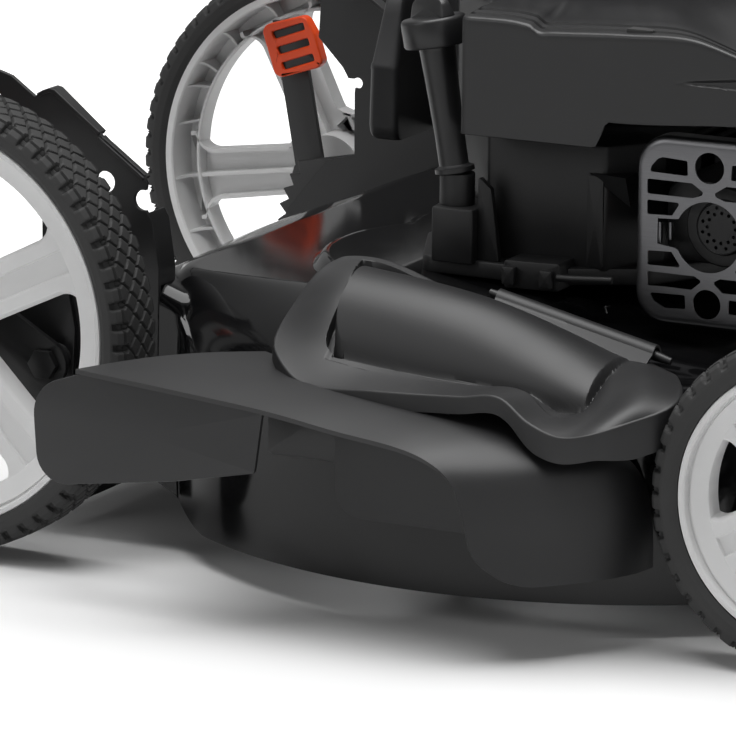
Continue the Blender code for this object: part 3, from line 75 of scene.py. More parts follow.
# %% The shift from the mower's own frame to the scene
SHIFT = np.array([-0.03, 0.098105, -0.000248])
CRANK_Y = 0.3200


def at(x, y, z):
    """A point of the mower's own frame, as a vector in the scene: the point plus the shift."""
    return Vector((x + SHIFT[0], y + SHIFT[1], z + SHIFT[2]))


# %% [markdown]
# A surface here is a grid of points: rows one way, columns the other. Joining neighbours gives quads, and
# wrapping a direction closes the grid into a tube or a ring. Several grids may make one piece, as when a
# spoke runs into a rim. Whole arrays are worked out at once, which is quick even for a tyre's tread.

# %% Grids into meshes
def grid(points, wrap_rows=False, wrap_columns=False, caps=False):
    """(points, quads) of a grid: each quad joins a point to its neighbours in the row and in the next row."""
    rows, columns = points.shape[:2]
    index = np.arange(rows * columns).reshape(rows, columns)
    if wrap_rows:
        index = np.vstack([index, index[:1]])
    if wrap_columns:
        index = np.hstack([index, index[:, :1]])
    quads = np.stack([index[:-1, :-1], index[:-1, 1:], index[1:, 1:], index[1:, :-1]], -1).reshape(-1, 4)
    flat = points.reshape(-1, 3)
    if caps:
        quads = [quads]
        for row in (0, rows - 1):
            middle = len(flat)
            flat = np.vstack([flat, flat[row * columns:(row + 1) * columns].mean(0)])
            edge = np.arange(row * columns, (row + 1) * columns)
            quads.append(np.stack([edge, np.roll(edge, -1), np.full(columns, middle), np.full(columns, middle)], -1))
        quads = np.vstack(quads)
    return flat, quads


def join(*patches):
    """Several patches as one: the quads of each are moved on by the points before it."""
    start = np.cumsum([0] + [len(points) for points, _ in patches[:-1]])
    return np.vstack([p for p, _ in patches]), np.vstack([q + s for (_, q), s in zip(patches, start)])


def piece(name, patch, finish, body, *stands_for, outward=True, sharp=35.0):
    """A mesh object from a patch, with its doubles merged and its faces turned outwards, riding on a body."""
    points, quads = patch
    mesh = bpy.data.meshes.new(name)
    mesh.from_pydata((points + SHIFT).tolist(), [], [list(dict.fromkeys(q)) for q in quads.tolist()])
    work = bmesh.new()
    work.from_mesh(mesh)
    bmesh.ops.remove_doubles(work, verts=work.verts, dist=1e-6)
    bmesh.ops.dissolve_degenerate(work, edges=work.edges, dist=1e-7)
    if outward:
        bmesh.ops.recalc_face_normals(work, faces=work.faces)
    work.to_mesh(mesh)
    work.free()
    mesh.shade_smooth()
    mesh.set_sharp_from_angle(angle=math.radians(sharp))
    mesh.materials.append(finish)
    made = bpy.data.objects.new(name, mesh)
    bpy.context.scene.collection.objects.link(made)
    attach(made, body)
    if stands_for:
        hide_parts(*stands_for)
    return made


def body_of(node):
    """The name of the body that carries a node."""
    return nodes[node]["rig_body"]


def facing(made, axis):
    """Flips a sheet whose faces look the wrong way: the sum of normal times area along the axis comes out positive."""
    if sum(face.normal[axis] * face.area for face in made.data.polygons) < 0:
        made.data.flip_normals()
    return made


def smooth(share):
    """An S curve from 0 to 1: three times the square less twice the cube."""
    share = np.clip(share, 0.0, 1.0)
    return share * share * (3 - 2 * share)


def flow(stops, share):
    """A smooth curve through (position, value) stops: cubic pieces whose slopes come from the stops on either side."""
    places = np.array([p for p, _ in stops], float)
    values = np.array([v for _, v in stops], float)
    slopes = np.gradient(values, places)
    share = np.clip(np.asarray(share, float), places[0], places[-1])
    k = np.clip(np.searchsorted(places, share, side="right") - 1, 0, len(places) - 2)
    span = places[k + 1] - places[k]
    t = (share - places[k]) / span
    return ((2 * t ** 3 - 3 * t ** 2 + 1) * values[k] + (t ** 3 - 2 * t ** 2 + t) * span * slopes[k]
            + (3 * t ** 2 - 2 * t ** 3) * values[k + 1] + (t ** 3 - t ** 2) * span * slopes[k + 1])


def spread(*stops):
    """Samples between stops: each (value, count) adds that many even steps up to the value."""
    samples = [np.array([stops[0][0]])]
    for (a, _), (b, count) in zip(stops, stops[1:]):
        samples.append(np.linspace(a, b, count + 1)[1:])
    return np.concatenate(samples)


def thickened(made, wall, offset=-1.0, even_offset=True):
    """Gives a sheet its wall with Solidify, inwards from the side that its faces look to, and marks the sharp edges of
    the mesh that results."""
    step = made.modifiers.new("wall", "SOLIDIFY")
    step.thickness, step.offset, step.use_even_offset = wall, offset, even_offset
    made.data = bpy.data.meshes.new_from_object(made.evaluated_get(bpy.context.evaluated_depsgraph_get()))
    made.modifiers.clear()
    made.data.set_sharp_from_angle(angle=math.radians(38))
    return made


# %% [markdown]
# Many pieces start as a flat outline. Its corners are rounded with arcs, and its normals tell which way is
# out. From there it becomes a plate, a pierced sheet or the section of a tube.

# %% Outlines, plates and tubes
def around(count):
    """Even turns round a circle in radians: the last one stops a step before the first."""
    return np.arange(count) / count * 2 * math.pi


def arc(middle, radius, turns):
    """Points at a radius from the middle, one for each turn."""
    return np.column_stack([middle[0] + radius * np.cos(turns), middle[1] + radius * np.sin(turns)])


def ring(middle, radius, count=32):
    """A full circle of points."""
    return arc(middle, radius, around(count))


def rounded(corners, radius, steps=6):
    """An outline with an arc for each corner that isn't straight: radius is one number, or one for each corner."""
    corners = np.array(corners, float)
    radii = np.broadcast_to(radius, len(corners))
    outline = []
    for here, before, after, r in zip(corners, np.roll(corners, 1, 0), np.roll(corners, -1, 0), radii):
        back = (before - here) / np.linalg.norm(before - here)
        ahead = (after - here) / np.linalg.norm(after - here)
        half = math.acos(np.clip(back @ ahead, -1, 1)) / 2
        if half > math.pi / 2 - 0.01:
            outline.append(here)
            continue
        cut = min(r / math.tan(half), 0.48 * np.linalg.norm(before - here), 0.48 * np.linalg.norm(after - here))
        r = cut * math.tan(half)
        middle = here + (back + ahead) / np.linalg.norm(back + ahead) * r / math.sin(half)
        start, end = here + back * cut - middle, here + ahead * cut - middle
        angle = math.acos(np.clip(start @ end / max(r * r, 1e-12), -1, 1))
        for k in np.linspace(0, 1, steps + 1):
            mixed = start * math.sin((1 - k) * angle) + end * math.sin(k * angle)
            outline.append(middle + mixed / max(math.sin(angle), 1e-9))
    return np.array(outline)


def oblong(low_a, high_a, low_b, high_b, radius, steps=3):
    """A rectangle with rounded corners, from its two limits either way."""
    return rounded([(low_a, low_b), (high_a, low_b), (high_a, high_b), (low_a, high_b)], radius, steps)


def even(outline, count):
    """The closed outline sampled at even steps of its own length."""
    closed = np.vstack([outline, outline[:1]])
    lengths = run_lengths(closed)
    places = np.arange(count) / count * lengths[-1]
    return np.stack([np.interp(places, lengths, closed[:, i]) for i in (0, 1)], 1)


def run_lengths(line):
    """The length run from the start of a flat line to each of its points."""
    return np.concatenate([[0], np.cumsum(np.hypot(*np.diff(line, axis=0).T))])


def outward_of(outline):
    """Unit normals of a closed outline, away from its middle: each is square to the line between its neighbours."""
    tangent = np.roll(outline, -1, 0) - np.roll(outline, 1, 0)
    out = np.stack([tangent[:, 1], -tangent[:, 0]], 1)
    out /= np.maximum(np.linalg.norm(out, axis=1), 1e-9)[:, None]
    return out if ((outline - outline.mean(0)) * out).sum() >= 0 else -out


def at_x(level, flat):
    """(y, z) points in space, at one X or at one for each."""
    return np.column_stack([np.broadcast_to(level, len(flat)), flat])


def at_z(flat, level):
    """(x, y) points in space, at one height or at one for each."""
    return np.column_stack([flat, np.broadcast_to(level, len(flat))])


def turned(radius, level, middle, turns, along_x=False):
    """Rings about an upright axis, or one along X: every (radius, level) row goes round the middle."""
    a, b = middle[0] + radius * np.cos(turns), middle[1] + radius * np.sin(turns)
    level = level + 0 * turns
    return np.stack([level, a, b] if along_x else [a, b, level], -1)


def pipe(path, radii, turns=28, aside=(1.0, 0.02, 0.01)):
    """A round tube along a path: rings square to the path's own direction, with a radius for each."""
    path = np.array(path, float)
    ahead = np.gradient(path, axis=0)
    ahead /= np.linalg.norm(ahead, axis=1)[:, None]
    across = np.cross(ahead, aside)
    across /= np.linalg.norm(across, axis=1)[:, None]
    third = np.cross(ahead, across)
    angle = around(turns)[None, :, None]
    spokes = np.cos(angle) * across[:, None] + np.sin(angle) * third[:, None]
    return grid(path[:, None] + np.broadcast_to(radii, len(path))[:, None, None] * spokes, False, True, True)


def cut_sheet(outline, holes):
    """(points, faces) of a pierced flat sheet: Delaunay triangles that keep every edge of the loops, less those whose
    centre isn't inside the outline, or is inside a hole, where a line from it crosses the loops an even number of
    times."""
    loops = [np.asarray(loop, float) for loop in [outline, *holes]]
    firsts = np.cumsum([0] + [len(loop) for loop in loops]).tolist()
    edges = [(first + i, first + (i + 1) % len(loop)) for first, loop in zip(firsts, loops) for i in range(len(loop))]
    found = delaunay_2d_cdt([Vector(point) for point in np.vstack(loops)], edges, [], 0, 1e-7)
    points, faces = np.array([tuple(point) for point in found[0]]), np.array(found[2])
    x, y = points[faces].mean(axis=1).T[:, :, None]
    crossings = 0
    for loop in loops:
        (ax, ay), (bx, by) = loop.T, np.roll(loop, -1, axis=0).T
        rise = np.where(by == ay, 1.0, by - ay)
        crossings += (((ay > y) != (by > y)) & (x < ax + (y - ay) * (bx - ax) / rise)).sum(axis=1)
    return points, faces[crossings % 2 == 1]


def triangles(points, faces):
    """A patch from triangles: the last corner is written twice, and piece() drops the repeat."""
    return points, np.column_stack([faces, faces[:, 2]])


def plate(outline, near, far, soft=0.0008, upright=False):
    """A flat plate square to X, or an upright one seen in plan. A small bevel draws the outline in at both faces."""
    out = outward_of(outline)
    step = math.copysign(soft, far - near)
    rows = []
    for inset, level in ((1, near), (0.3, near + 0.3 * step), (0, near + step),
                         (0, far - step), (0.3, far - 0.3 * step), (1, far)):
        flat = outline - out * (inset * soft)
        rows.append(at_z(flat, level) if upright else at_x(level, flat))
    return grid(np.array(rows), False, True, True)


# %% [markdown]
# Every finish is a Principled shader with a few nodes in front of it. Colours are written as a paint chart
# gives them, in sRGB hex, and one function turns them into the linear light that the shader adds up.

# %% Node and colour helpers
def colour(code):
    """An sRGB hex code as linear red, green, blue and alpha, by the sRGB curve."""
    parts = np.array([int(code[i:i + 2], 16) / 255 for i in (1, 3, 5)])
    linear = np.where(parts <= 0.04045, parts / 12.92, ((parts + 0.055) / 1.055) ** 2.4)
    return (*linear.tolist(), 1.0)


def add(tree, kind, links=None, **settings):
    """Adds one node: settings are its properties or its input sockets, and links feed sockets from others."""
    node = tree.nodes.new("ShaderNode" + kind)
    for key, value in settings.items():
        if hasattr(node, key) and key not in node.inputs:
            setattr(node, key, value)
        else:
            node.inputs[key.replace("_", " ")].default_value = value
    for socket, source in (links or {}).items():
        tree.links.new(source, node.inputs[socket])
    return node


def base(name, code, roughness, metallic=0.0, ior=1.5):
    """A material with its shader's plain numbers set, and its node tree, shader and Object coordinates."""
    finish = bpy.data.materials.new(name)
    finish.use_nodes = True
    tree = finish.node_tree
    shader = tree.nodes["Principled BSDF"]
    shader.inputs["Base Color"].default_value = finish.diffuse_color = colour(code)
    shader.inputs["Roughness"].default_value = roughness
    shader.inputs["Metallic"].default_value = metallic
    if not metallic:
        shader.inputs["IOR"].default_value = ior
    return finish, tree, shader, add(tree, "TexCoord").outputs["Object"]


def toned(tree, shader, factor, codes, roughness=None, places=(0.0, 1.0)):
    """Colour, and roughness if given, that drift between two values with a factor from 0 to 1."""
    tone = add(tree, "ValToRGB", {"Fac": factor})
    for stop, place, code in zip(tone.color_ramp.elements, places, codes):
        stop.position, stop.color = place, colour(code)
    tree.links.new(tone.outputs["Color"], shader.inputs["Base Color"])
    if roughness:
        drift = add(tree, "MapRange", {"Value": factor}, To_Min=roughness[0], To_Max=roughness[1])
        tree.links.new(drift.outputs["Result"], shader.inputs["Roughness"])


def bumped(tree, shader, height, depth):
    """Bumps from a height of 0 to 1, for a depth in metres."""
    bump = add(tree, "Bump", {"Height": height}, Distance=depth, Strength=1.0)
    tree.links.new(bump.outputs["Normal"], shader.inputs["Normal"])


def made_of(name, code, roughness, patch, codes, drift, grain=None, depth=0.0, detail=3.0, metallic=0.0, ior=1.5):
    """A finish whose colour and roughness drift over patches, with a bumpy grain. Patch, grain and depth are in metres,
    and a noise's scale is one over the size."""
    finish, tree, shader, where = base(name, code, roughness, metallic, ior)
    cloud = add(tree, "TexNoise", {"Vector": where}, Scale=1 / patch, Detail=4.0)
    toned(tree, shader, cloud.outputs["Fac"], codes, drift, (0.3, 0.7))
    if grain:
        noise = add(tree, "TexNoise", {"Vector": where}, Scale=1 / grain, Detail=detail)
        bumped(tree, shader, noise.outputs["Fac"], depth)
    return finish


# %% [markdown]
# The deck is pressed sheet steel under a baked gloss enamel. The eye knows it by mirror-clear reflections
# that wobble a little, which is the orange peel of sprayed paint: bumps a few millimetres wide and only
# microns deep. The steel brackets and tubes wear a powder coat instead, which is finer and duller.

# %% Enamel, powder coat and bright metal
# Baked gloss enamel on pressed steel: dark, mirror-like, with an orange peel of 4 mm.
ENAMEL = made_of("gloss_enamel_on_steel", "#0C0C0D", 0.09, 0.030, ("#0B0B0C", "#0F0F10"), (0.07, 0.12),
                 0.0040, 0.000006, 1.0, ior=1.38)
# Powder-coated steel: satin black with a fine pebble of 0.9 mm.
POWDER = made_of("powder_coated_steel", "#141415", 0.40, 0.020, ("#121213", "#171718"), (0.36, 0.48), 0.0009, 0.00002)
# Zinc-plated steel rod and bolts: bright, with faint drawing lines.
ZINC = made_of("zinc_plated_steel", "#A9AAAC", 0.28, 0.0015, ("#9C9DA0", "#B7B8BA"), (0.22, 0.36), metallic=1.0)
# Die-cast aluminium under black engine paint: a coarse skin of 1.6 mm from the mould.
CAST = made_of("painted_cast_aluminium", "#131314", 0.48, 0.025, ("#101011", "#171718"), (0.42, 0.56), 0.0016, 0.00006)


def make_brushed():
    """Stamped stainless sheet, brushed along its length: hairlines drawn 0.4 mm apart, so that they show."""
    finish, tree, shader, where = base("brushed_stainless_sheet", "#6C6C6E", 0.34, metallic=1.0)
    lines = add(tree, "Mapping", {"Vector": where}, Scale=(400.0, 30.0, 2500.0))
    hair = add(tree, "TexNoise", {"Vector": lines.outputs["Vector"]}, Scale=1.0, Detail=3.0)
    toned(tree, shader, hair.outputs["Fac"], ("#606062", "#78787A"), (0.26, 0.44))
    bumped(tree, shader, hair.outputs["Fac"], 0.00001)
    return finish


BRUSHED = make_brushed()
print("metals", [m.name for m in (ENAMEL, POWDER, ZINC, CAST, BRUSHED)])

# %% [markdown]
# The plastics are moulded. Their skin copies the mould: spark-eroded steel leaves a fine pebble that kills
# the mirror, and a polished mould leaves the engine cover nearly glossy. Rubber is duller.

# %% Plastics and rubber
def moulded(name, code, dark, light, roughness, grain, depth):
    """An injection-moulded thermoplastic, with patches of 45 mm. Grain and depth are in metres."""
    return made_of(name, code, sum(roughness) / 2, 0.045, (dark, light), roughness, grain, depth, ior=1.49)


# The door's skin copies spark-eroded steel: a fine pebble that kills the mirror.
DOOR_PLASTIC = moulded("spark_eroded_polypropylene", "#1D1D1E", "#1B1B1C", "#1F1F20", (0.42, 0.52), 0.0008, 0.00003)
# The engine's cover comes from a polished mould, which leaves a satin sheen.
COVER_PLASTIC = moulded("satin_moulded_nylon", "#1B1B1C", "#19191A", "#1E1E1F", (0.32, 0.42), 0.0010, 0.000012)
# The blown tank is greyer, waxy and a little coarse.
TANK_PLASTIC = moulded("moulded_polyethylene", "#2E2E2F", "#2B2B2C", "#313132", (0.40, 0.52), 0.0014, 0.00003)
RIM_PLASTIC = moulded("moulded_grey_polypropylene", "#E0E0E0", "#DCDCDC", "#E4E4E4", (0.42, 0.54), 0.0009, 0.00002)
ORANGE_PLASTIC = moulded("moulded_orange_abs", "#FF561A", "#EE460D", "#F65014", (0.34, 0.44), 0.0009, 0.00001)
# Rubber is dull and dusty, and foam scatters nearly all of the light.
RUBBER = moulded("vulcanised_rubber", "#2C2C2C", "#272727", "#323232", (0.62, 0.80), 0.0011, 0.00004)
FOAM = moulded("closed_cell_foam", "#1A1A1A", "#171717", "#202020", (0.82, 0.95), 0.0012, 0.00012)
PLASTICS = (DOOR_PLASTIC, COVER_PLASTIC, TANK_PLASTIC, RIM_PLASTIC, ORANGE_PLASTIC, RUBBER, FOAM)
print("plastics", [m.name for m in PLASTICS])

# %% [markdown]
# Every solid that stays on view gets its real finish in place of the plain one that it came with. The
# mesh isn't touched: only the material in its slot changes.

# %% Finishes for the solids
FINISHES = (
    (ZINC, ("side_door_rod", "rear_door_rod", "crankshaft", "blade_bolt", "spark_plug")),
    (BRUSHED, ("muffler_guard",)),
    (CAST, ("blade_adapter", "flywheel", "cylinder", "crankcase", "muffler")),
    (RUBBER, ("tyre_", "plug_boot", "rear_flap")),
    (RIM_PLASTIC, ("rim_", "hub_cap_")),
    (ORANGE_PLASTIC, ("lever_grip_",)),
    (DOOR_PLASTIC, ("rear_door", "side_door", "side_deflector")),
    (TANK_PLASTIC, ("fuel_tank",)),
    (COVER_PLASTIC, ("handle_knob_", "blower_shroud", "recoil_housing", "starter_handle", "fuel_cap",
                     "air_filter_cover", "oil_filler_tube", "dipstick_cap")),
    (ENAMEL, ("deck_shell",)),
    (FOAM, ("foam_grip",)),
)


def finish_of(name):
    """The first finish in the chart with the start of the node's name, and powder coat for the rest."""
    return next((finish for finish, starts in FINISHES if name.startswith(starts)), POWDER)


for name, node in nodes.items():
    node.data.materials.clear()
    node.data.materials.append(finish_of(name))
print("finishes", len(FINISHES) + 1, "for", len(nodes), "nodes")

# %% [markdown]
# A wheel starts with its tyre. The section is a ring profile: two smooth walls, rounded shoulders and a
# slightly crowned tread. The tread is height on top of that profile, so one function of two parameters
# draws it: diagonal grooves cross into diamonds, and a row of short bars stands on each shoulder.

# %% Wheel places
WHEEL_OUT = 0.285
BIG_WHEEL = 0.12
SPOKE_TURN = {"rear_right": 26.0, "rear_left": 44.5, "front_right": 64.0, "front_left": 30.0}
WHEELS = []
for row, axle_y, radius, width, tip in (("rear", 0.0, 0.1397, 0.045, 0.048), ("front", 0.569, 0.0975, 0.042, 0.034)):
    for side_name, side in (("right", 1.0), ("left", -1.0)):
        centre = np.array([side * (WHEEL_OUT - width / 2), axle_y, radius])
        WHEELS.append((f"{row}_{side_name}", side, centre, radius, width, tip))
print("wheels", [tag for tag, *_ in WHEELS])


def spun(section, turns):
    """A ring from a section of (radius, along X) points: each point goes round by every turn, at its own radius."""
    reach, along = section[:, 0][None, :], section[:, 1][None, :]
    y = reach * np.cos(turns)[:, None]
    z = reach * np.sin(turns)[:, None]
    return np.stack([np.broadcast_to(along, y.shape), y, z], -1)


# %% Tyres
TREAD_PITCH, GROOVE_DEPTH = 0.0131, 0.0024
WALL = 0.0173


def tread(turn_count, lateral, half):
    """Height lost, as a share of the groove's depth, at (pitches round, metres across): a groove where either diagonal
    family is near a whole number, within the tread, and beyond it between bars that stand at each whole pitch."""
    across = lateral / half
    lane = across * 1.65
    first = np.abs((turn_count + lane) % 1 - 0.5) * 2
    second = np.abs((turn_count - lane) % 1 - 0.5) * 2
    diamonds = smooth((np.maximum(first, second) - 0.80) / 0.12)
    bars = smooth((np.abs(turn_count % 1 - 0.5) * 2 - 0.58) / 0.18)
    centre = 1 - smooth((np.abs(across) - 0.68) / 0.05)
    rim_groove = smooth((0.04 - np.abs(np.abs(across) - 0.79)) / 0.02)
    shoulder = smooth((np.abs(across) - 0.68) / 0.06) * (1 - smooth((np.abs(across) - 1.04) / 0.10))
    return np.clip(diamonds * centre + 0.7 * rim_groove * (1 - bars * 0.3), 0, 1) + 1.3 * bars * shoulder


def make_tyre(tag, centre, radius, width):
    """A tyre: the ring profile, less the tread's height along its own outward direction."""
    half = width / 2
    seat = radius - WALL + 0.0003
    stops = np.array([
        (seat, -half + 0.0035), (seat + 0.0035, -half + 0.0012), (seat + 0.0080, -half + 0.0002),
        (radius - 0.0075, -half + 0.0004), (radius - 0.0040, -half + 0.0014), (radius - 0.0016, -half + 0.0038),
        (radius - 0.0004, -half * 0.62), (radius, 0.0),
    ])
    stops = np.vstack([stops, (stops * [1, -1])[-2::-1]])
    lengths = run_lengths(stops)
    samples = np.sort(np.concatenate([np.linspace(0, lengths[-1], 78), lengths[1:-1]]))
    section = np.stack([np.interp(samples, lengths, stops[:, i]) for i in (0, 1)], 1)
    pitches = int(round(2 * math.pi * radius / TREAD_PITCH / 2)) * 2
    turns = around(pitches * 16)
    tangent = np.gradient(section, axis=0)
    normal = np.stack([tangent[:, 1], -tangent[:, 0]], 1)
    normal /= np.linalg.norm(normal, axis=1)[:, None]
    normal *= 1.0 if normal[len(section) // 2, 0] > 0 else -1.0
    past_edge = np.maximum(0, radius - 0.0020 - section[:, 0])
    run = np.sign(section[:, 1]) * (np.abs(section[:, 1]) + past_edge * 0.55)
    drop = tread(turns[:, None] / (2 * math.pi) * pitches, run[None, :], half) * GROOVE_DEPTH
    drop = drop * (section[:, 0] > radius - 0.0115)[None, :]
    outward = drop * normal[None, :, 0]
    deep = np.stack([drop * normal[None, :, 1], outward * np.cos(turns)[:, None], outward * np.sin(turns)[:, None]], -1)
    shape = grid(spun(section, turns) - deep + centre, True, True)
    return piece(f"tread_{tag}", shape, RUBBER, body_of(f"tyre_{tag}"), f"tyre_{tag}")


for tag, side, centre, radius, width, tip in WHEELS:
    tyre = make_tyre(tag, centre, radius, width)
print("tyre", len(tyre.data.polygons), "faces")

# %% [markdown]
# The rims are moulded in one piece. The band is a turned profile with a rolled lip on the outside. Each
# spoke is a beam whose section changes along it: a face with a sunk channel, two walls behind and a rib
# in the hollow. It widens in a quarter circle where it meets the band, which rounds the window corners.

# %% Rims
FACE_INSET, BEAM_DEPTH, BEAM_WALL = 0.0085, 0.0150, 0.0026
SPOKE_START, SPOKE_ROOT = 0.0185, 0.0320
RIB_FLOOR, RIB_HALF = -0.0058, 0.0013


def spoke(inner, root_r, root_w, tip_w, channel, flare):
    """Sections along a spoke, as (along, across, depth) arrays: half width grows evenly from root to tip, plus the
    quarter circles at both ends; the channel sinks where its own S curves allow."""
    share = np.concatenate([np.linspace(0, 0.12, 5), np.linspace(0.14, 0.80, 14), np.linspace(0.805, 1.0, 22)])
    along = root_r + share * (inner + 0.0040 - root_r)
    half = (root_w + (tip_w - root_w) * share) / 2
    near_band = np.clip(along - (inner - flare), 0, flare)
    half = half + flare - np.sqrt(np.maximum(flare ** 2 - near_band ** 2, 0))
    hub_flare = flare * 0.6
    near_hub = np.clip(root_r + 0.012 + hub_flare - along, 0, hub_flare)
    half = half + hub_flare - np.sqrt(np.maximum(hub_flare ** 2 - near_hub ** 2, 0))
    channel_half, channel_end, depth = channel
    sunk = smooth((along - root_r - 0.012) / 0.0012) * (1 - smooth((along - channel_end) / 0.0012)) * depth
    wide = channel_half * (0.94 + 0.08 * share)
    front = [(-half, -0.0024), (-half + 0.0007, -0.0010), (-half + 0.0022, 0.0), (-wide - 0.0012, 0.0),
             (-wide - 0.0004, -sunk * 0.2), (-wide, -sunk * 0.9), (-wide + 0.0008, -sunk)]
    front += [(-a, d) for a, d in front[::-1]]
    hollow = half - BEAM_WALL
    back = [(half, -BEAM_DEPTH), (hollow, -BEAM_DEPTH), (hollow, RIB_FLOOR), (RIB_HALF, RIB_FLOOR),
            (RIB_HALF, 0.0015 - BEAM_DEPTH)]
    back += [(-a, d) for a, d in back[::-1]]
    return np.stack([np.stack(np.broadcast_arrays(along, a, d), -1) for a, d in front + back], 1)


def laid(sections, turn, side, centre, face):
    """Puts (along, across, depth) on a wheel: along and across turn about the hub, depth goes inboard."""
    along, across, depth = sections[..., 0], sections[..., 1], sections[..., 2]
    y = along * math.cos(turn) - across * math.sin(turn)
    z = along * math.sin(turn) + across * math.cos(turn)
    return np.stack([centre[0] + side * (face + depth), centre[1] + y, centre[2] + z], -1)


def gusset(turn, r0, r1, lean, side, centre, face, back):
    """A thin rib behind the web, from the window frame to the band: its free edge dips in a quarter circle, and it
    leans so much round the wheel on its way out."""
    share = np.linspace(0, 1, 9)
    reach = r0 + (r1 - r0) * share
    low = -BEAM_DEPTH + 0.003 + (back + BEAM_DEPTH - 0.003) * (1 - np.sqrt(1 - share ** 2))
    corners = [np.stack(np.broadcast_arrays(reach, lean * share + half, depth), -1)
               for half, depth in ((-0.0009, low), (0.0009, low), (0.0009, -0.0012), (-0.0009, -0.0012))]
    return grid(laid(np.stack(corners, 1), turn, side, centre, face), False, True, True)


def make_rim(tag, side, centre, radius, width, tip):
    """A rim: band, lip, five spokes, webs between them and a stepped hub."""
    edge = width / 2 - 0.0035
    outer = radius - WALL
    inner = outer - 0.0085
    if radius > BIG_WHEEL:
        lip, channel, flare, narrow = 0.0098, (0.0064, inner - 0.0095, 0.0034), 0.0125, 0.72
    else:
        lip, channel, flare, narrow = 0.0070, (0.0052, inner - 0.0070, 0.0028), 0.009, 0.86
    window = inner - lip
    face = edge - FACE_INSET
    turns = around(144)
    band = np.array([
        (outer, -edge), (outer, edge - 0.0010), (outer - 0.0006, edge), (outer - 0.0032, edge),
        (outer - 0.0040, edge - 0.0008), (outer - 0.0043, edge - 0.0056), (outer - 0.0053, edge - 0.0058),
        (outer - 0.0059, edge - 0.0046), (inner + 0.0008, edge - 0.0052), (inner - 0.0030, face + 0.0012),
        (window + 0.0016, face + 0.0004), (window + 0.0004, face - 0.0004), (window, face - 0.0020),
        (window + 0.0006, face - BEAM_DEPTH + 0.0008), (window + 0.0012, face - BEAM_DEPTH),
        (window + 0.0026, face - BEAM_DEPTH), (window + 0.0030, face - BEAM_DEPTH + 0.0006),
        (window + 0.0030, face - 0.0030), (inner + 0.0030, face - 0.0040), (inner + 0.0040, -edge + 0.0040),
        (inner + 0.0034, -edge + 0.0010), (inner + 0.0044, -edge),
    ])
    patches = [grid(spun(band * [1, side], turns) + centre, True, True)]
    for i in range(5):
        turn = math.radians(SPOKE_TURN[tag] + 72 * i)
        beam = spoke(window, SPOKE_START, SPOKE_ROOT, tip * narrow, channel, flare)
        patches.append(grid(laid(beam, turn, side, centre, face), False, True, True))
        for lean, slant in ((-0.58, 0.004), (-0.36, 0.006), (0.0, 0.0), (0.36, -0.006), (0.58, -0.004)):
            patches.append(gusset(turn + lean, window + 0.0010, inner + 0.0045, slant, side, centre, face,
                                  0.0040 - width / 2 - face))
    hub = np.array([(0.0067, -edge), (0.0240, -edge), (0.0240, face - 0.0010), (0.0232, face + 0.0004),
                    (0.0205, face + 0.0010), (0.0200, edge - 0.0040), (0.0190, edge - 0.0030), (0.0067, edge - 0.0030)])
    patches.append(grid(spun(hub * [1, side], turns) + centre, True, True))
    return piece(f"rim_body_{tag}", join(*patches), RIM_PLASTIC, body_of(f"rim_{tag}"), f"rim_{tag}", sharp=30)


def make_cap(tag, side, centre, width):
    """A domed hub cap with a shallow ring, turned about the axle."""
    dome = np.array([(0.0180, 0.0003), (0.0180, 0.0022), (0.0174, 0.0030), (0.0150, 0.0034), (0.0144, 0.0030),
                     (0.0132, 0.0030), (0.0124, 0.0036), (0.0070, 0.0047), (0.0001, 0.0050), (0.0001, 0.0003)])
    dome[:, 1] += width / 2 - 0.0065
    return piece(f"hub_dome_{tag}", grid(spun(dome * [1, side], around(64)) + centre, True, True), RIM_PLASTIC,
                 body_of(f"hub_cap_{tag}"), f"hub_cap_{tag}")


for tag, side, centre, radius, width, tip in WHEELS:
    rim = make_rim(tag, side, centre, radius, width, tip)
    make_cap(tag, side, centre, width)
print("rim", len(rim.data.polygons), "faces")

# %% [markdown]
# The deck is one pressing, so it is drawn as one height over the ground: a dome that falls in a quarter
# ellipse to the round skirt, and a tail that slopes down to the rear. Where both are high, a soft maximum
# joins them with the fillet that a press leaves. Rings run out from a point inside to the outline.

# %% Deck heights
DECK_R, TOP_X, TOP_REAR, TOP_FRONT = 0.2750, 0.1820, 0.2000, 0.1930
TOP_Z, FRONT_TOP_Z, SHOULDER_Z, SKIRT_Z = 0.1650, 0.1400, 0.1200, 0.0200
TAIL_X, TAIL_REAR, TAIL_BOTTOM, TAIL_EDGE = 0.2017, 0.0280, 0.0450, 0.010
ROOF = [(TAIL_REAR - 0.02, 0.108), (TAIL_REAR, 0.1180), (0.05, 0.1301), (0.07, 0.1411), (0.090, 0.1521),
        (0.0985, 0.1566), (0.106, 0.1592), (0.114, 0.1590), (0.126, 0.1553), (0.1410, 0.1495), (0.2, 0.120)]
DECK_EYE = np.array([0.0, 0.2500])
PAD_RISE, DECK_WALL = 0.0080, 0.0026
MOUTH_X, MOUTH_Y, MOUTH_LOW = 0.1930, (0.2350, 0.4300), 0.0850


def top_reach(turns):
    """Reach of the flat top from the crank: a squared-off oval, narrower to the front than to the rear."""
    to_rear = np.sin(turns) < 0
    back, power = np.where(to_rear, TOP_REAR, TOP_FRONT), np.where(to_rear, 20, 12)
    return (np.abs(np.cos(turns) / TOP_X) ** power + np.abs(np.sin(turns) / back) ** power) ** (-1 / power)


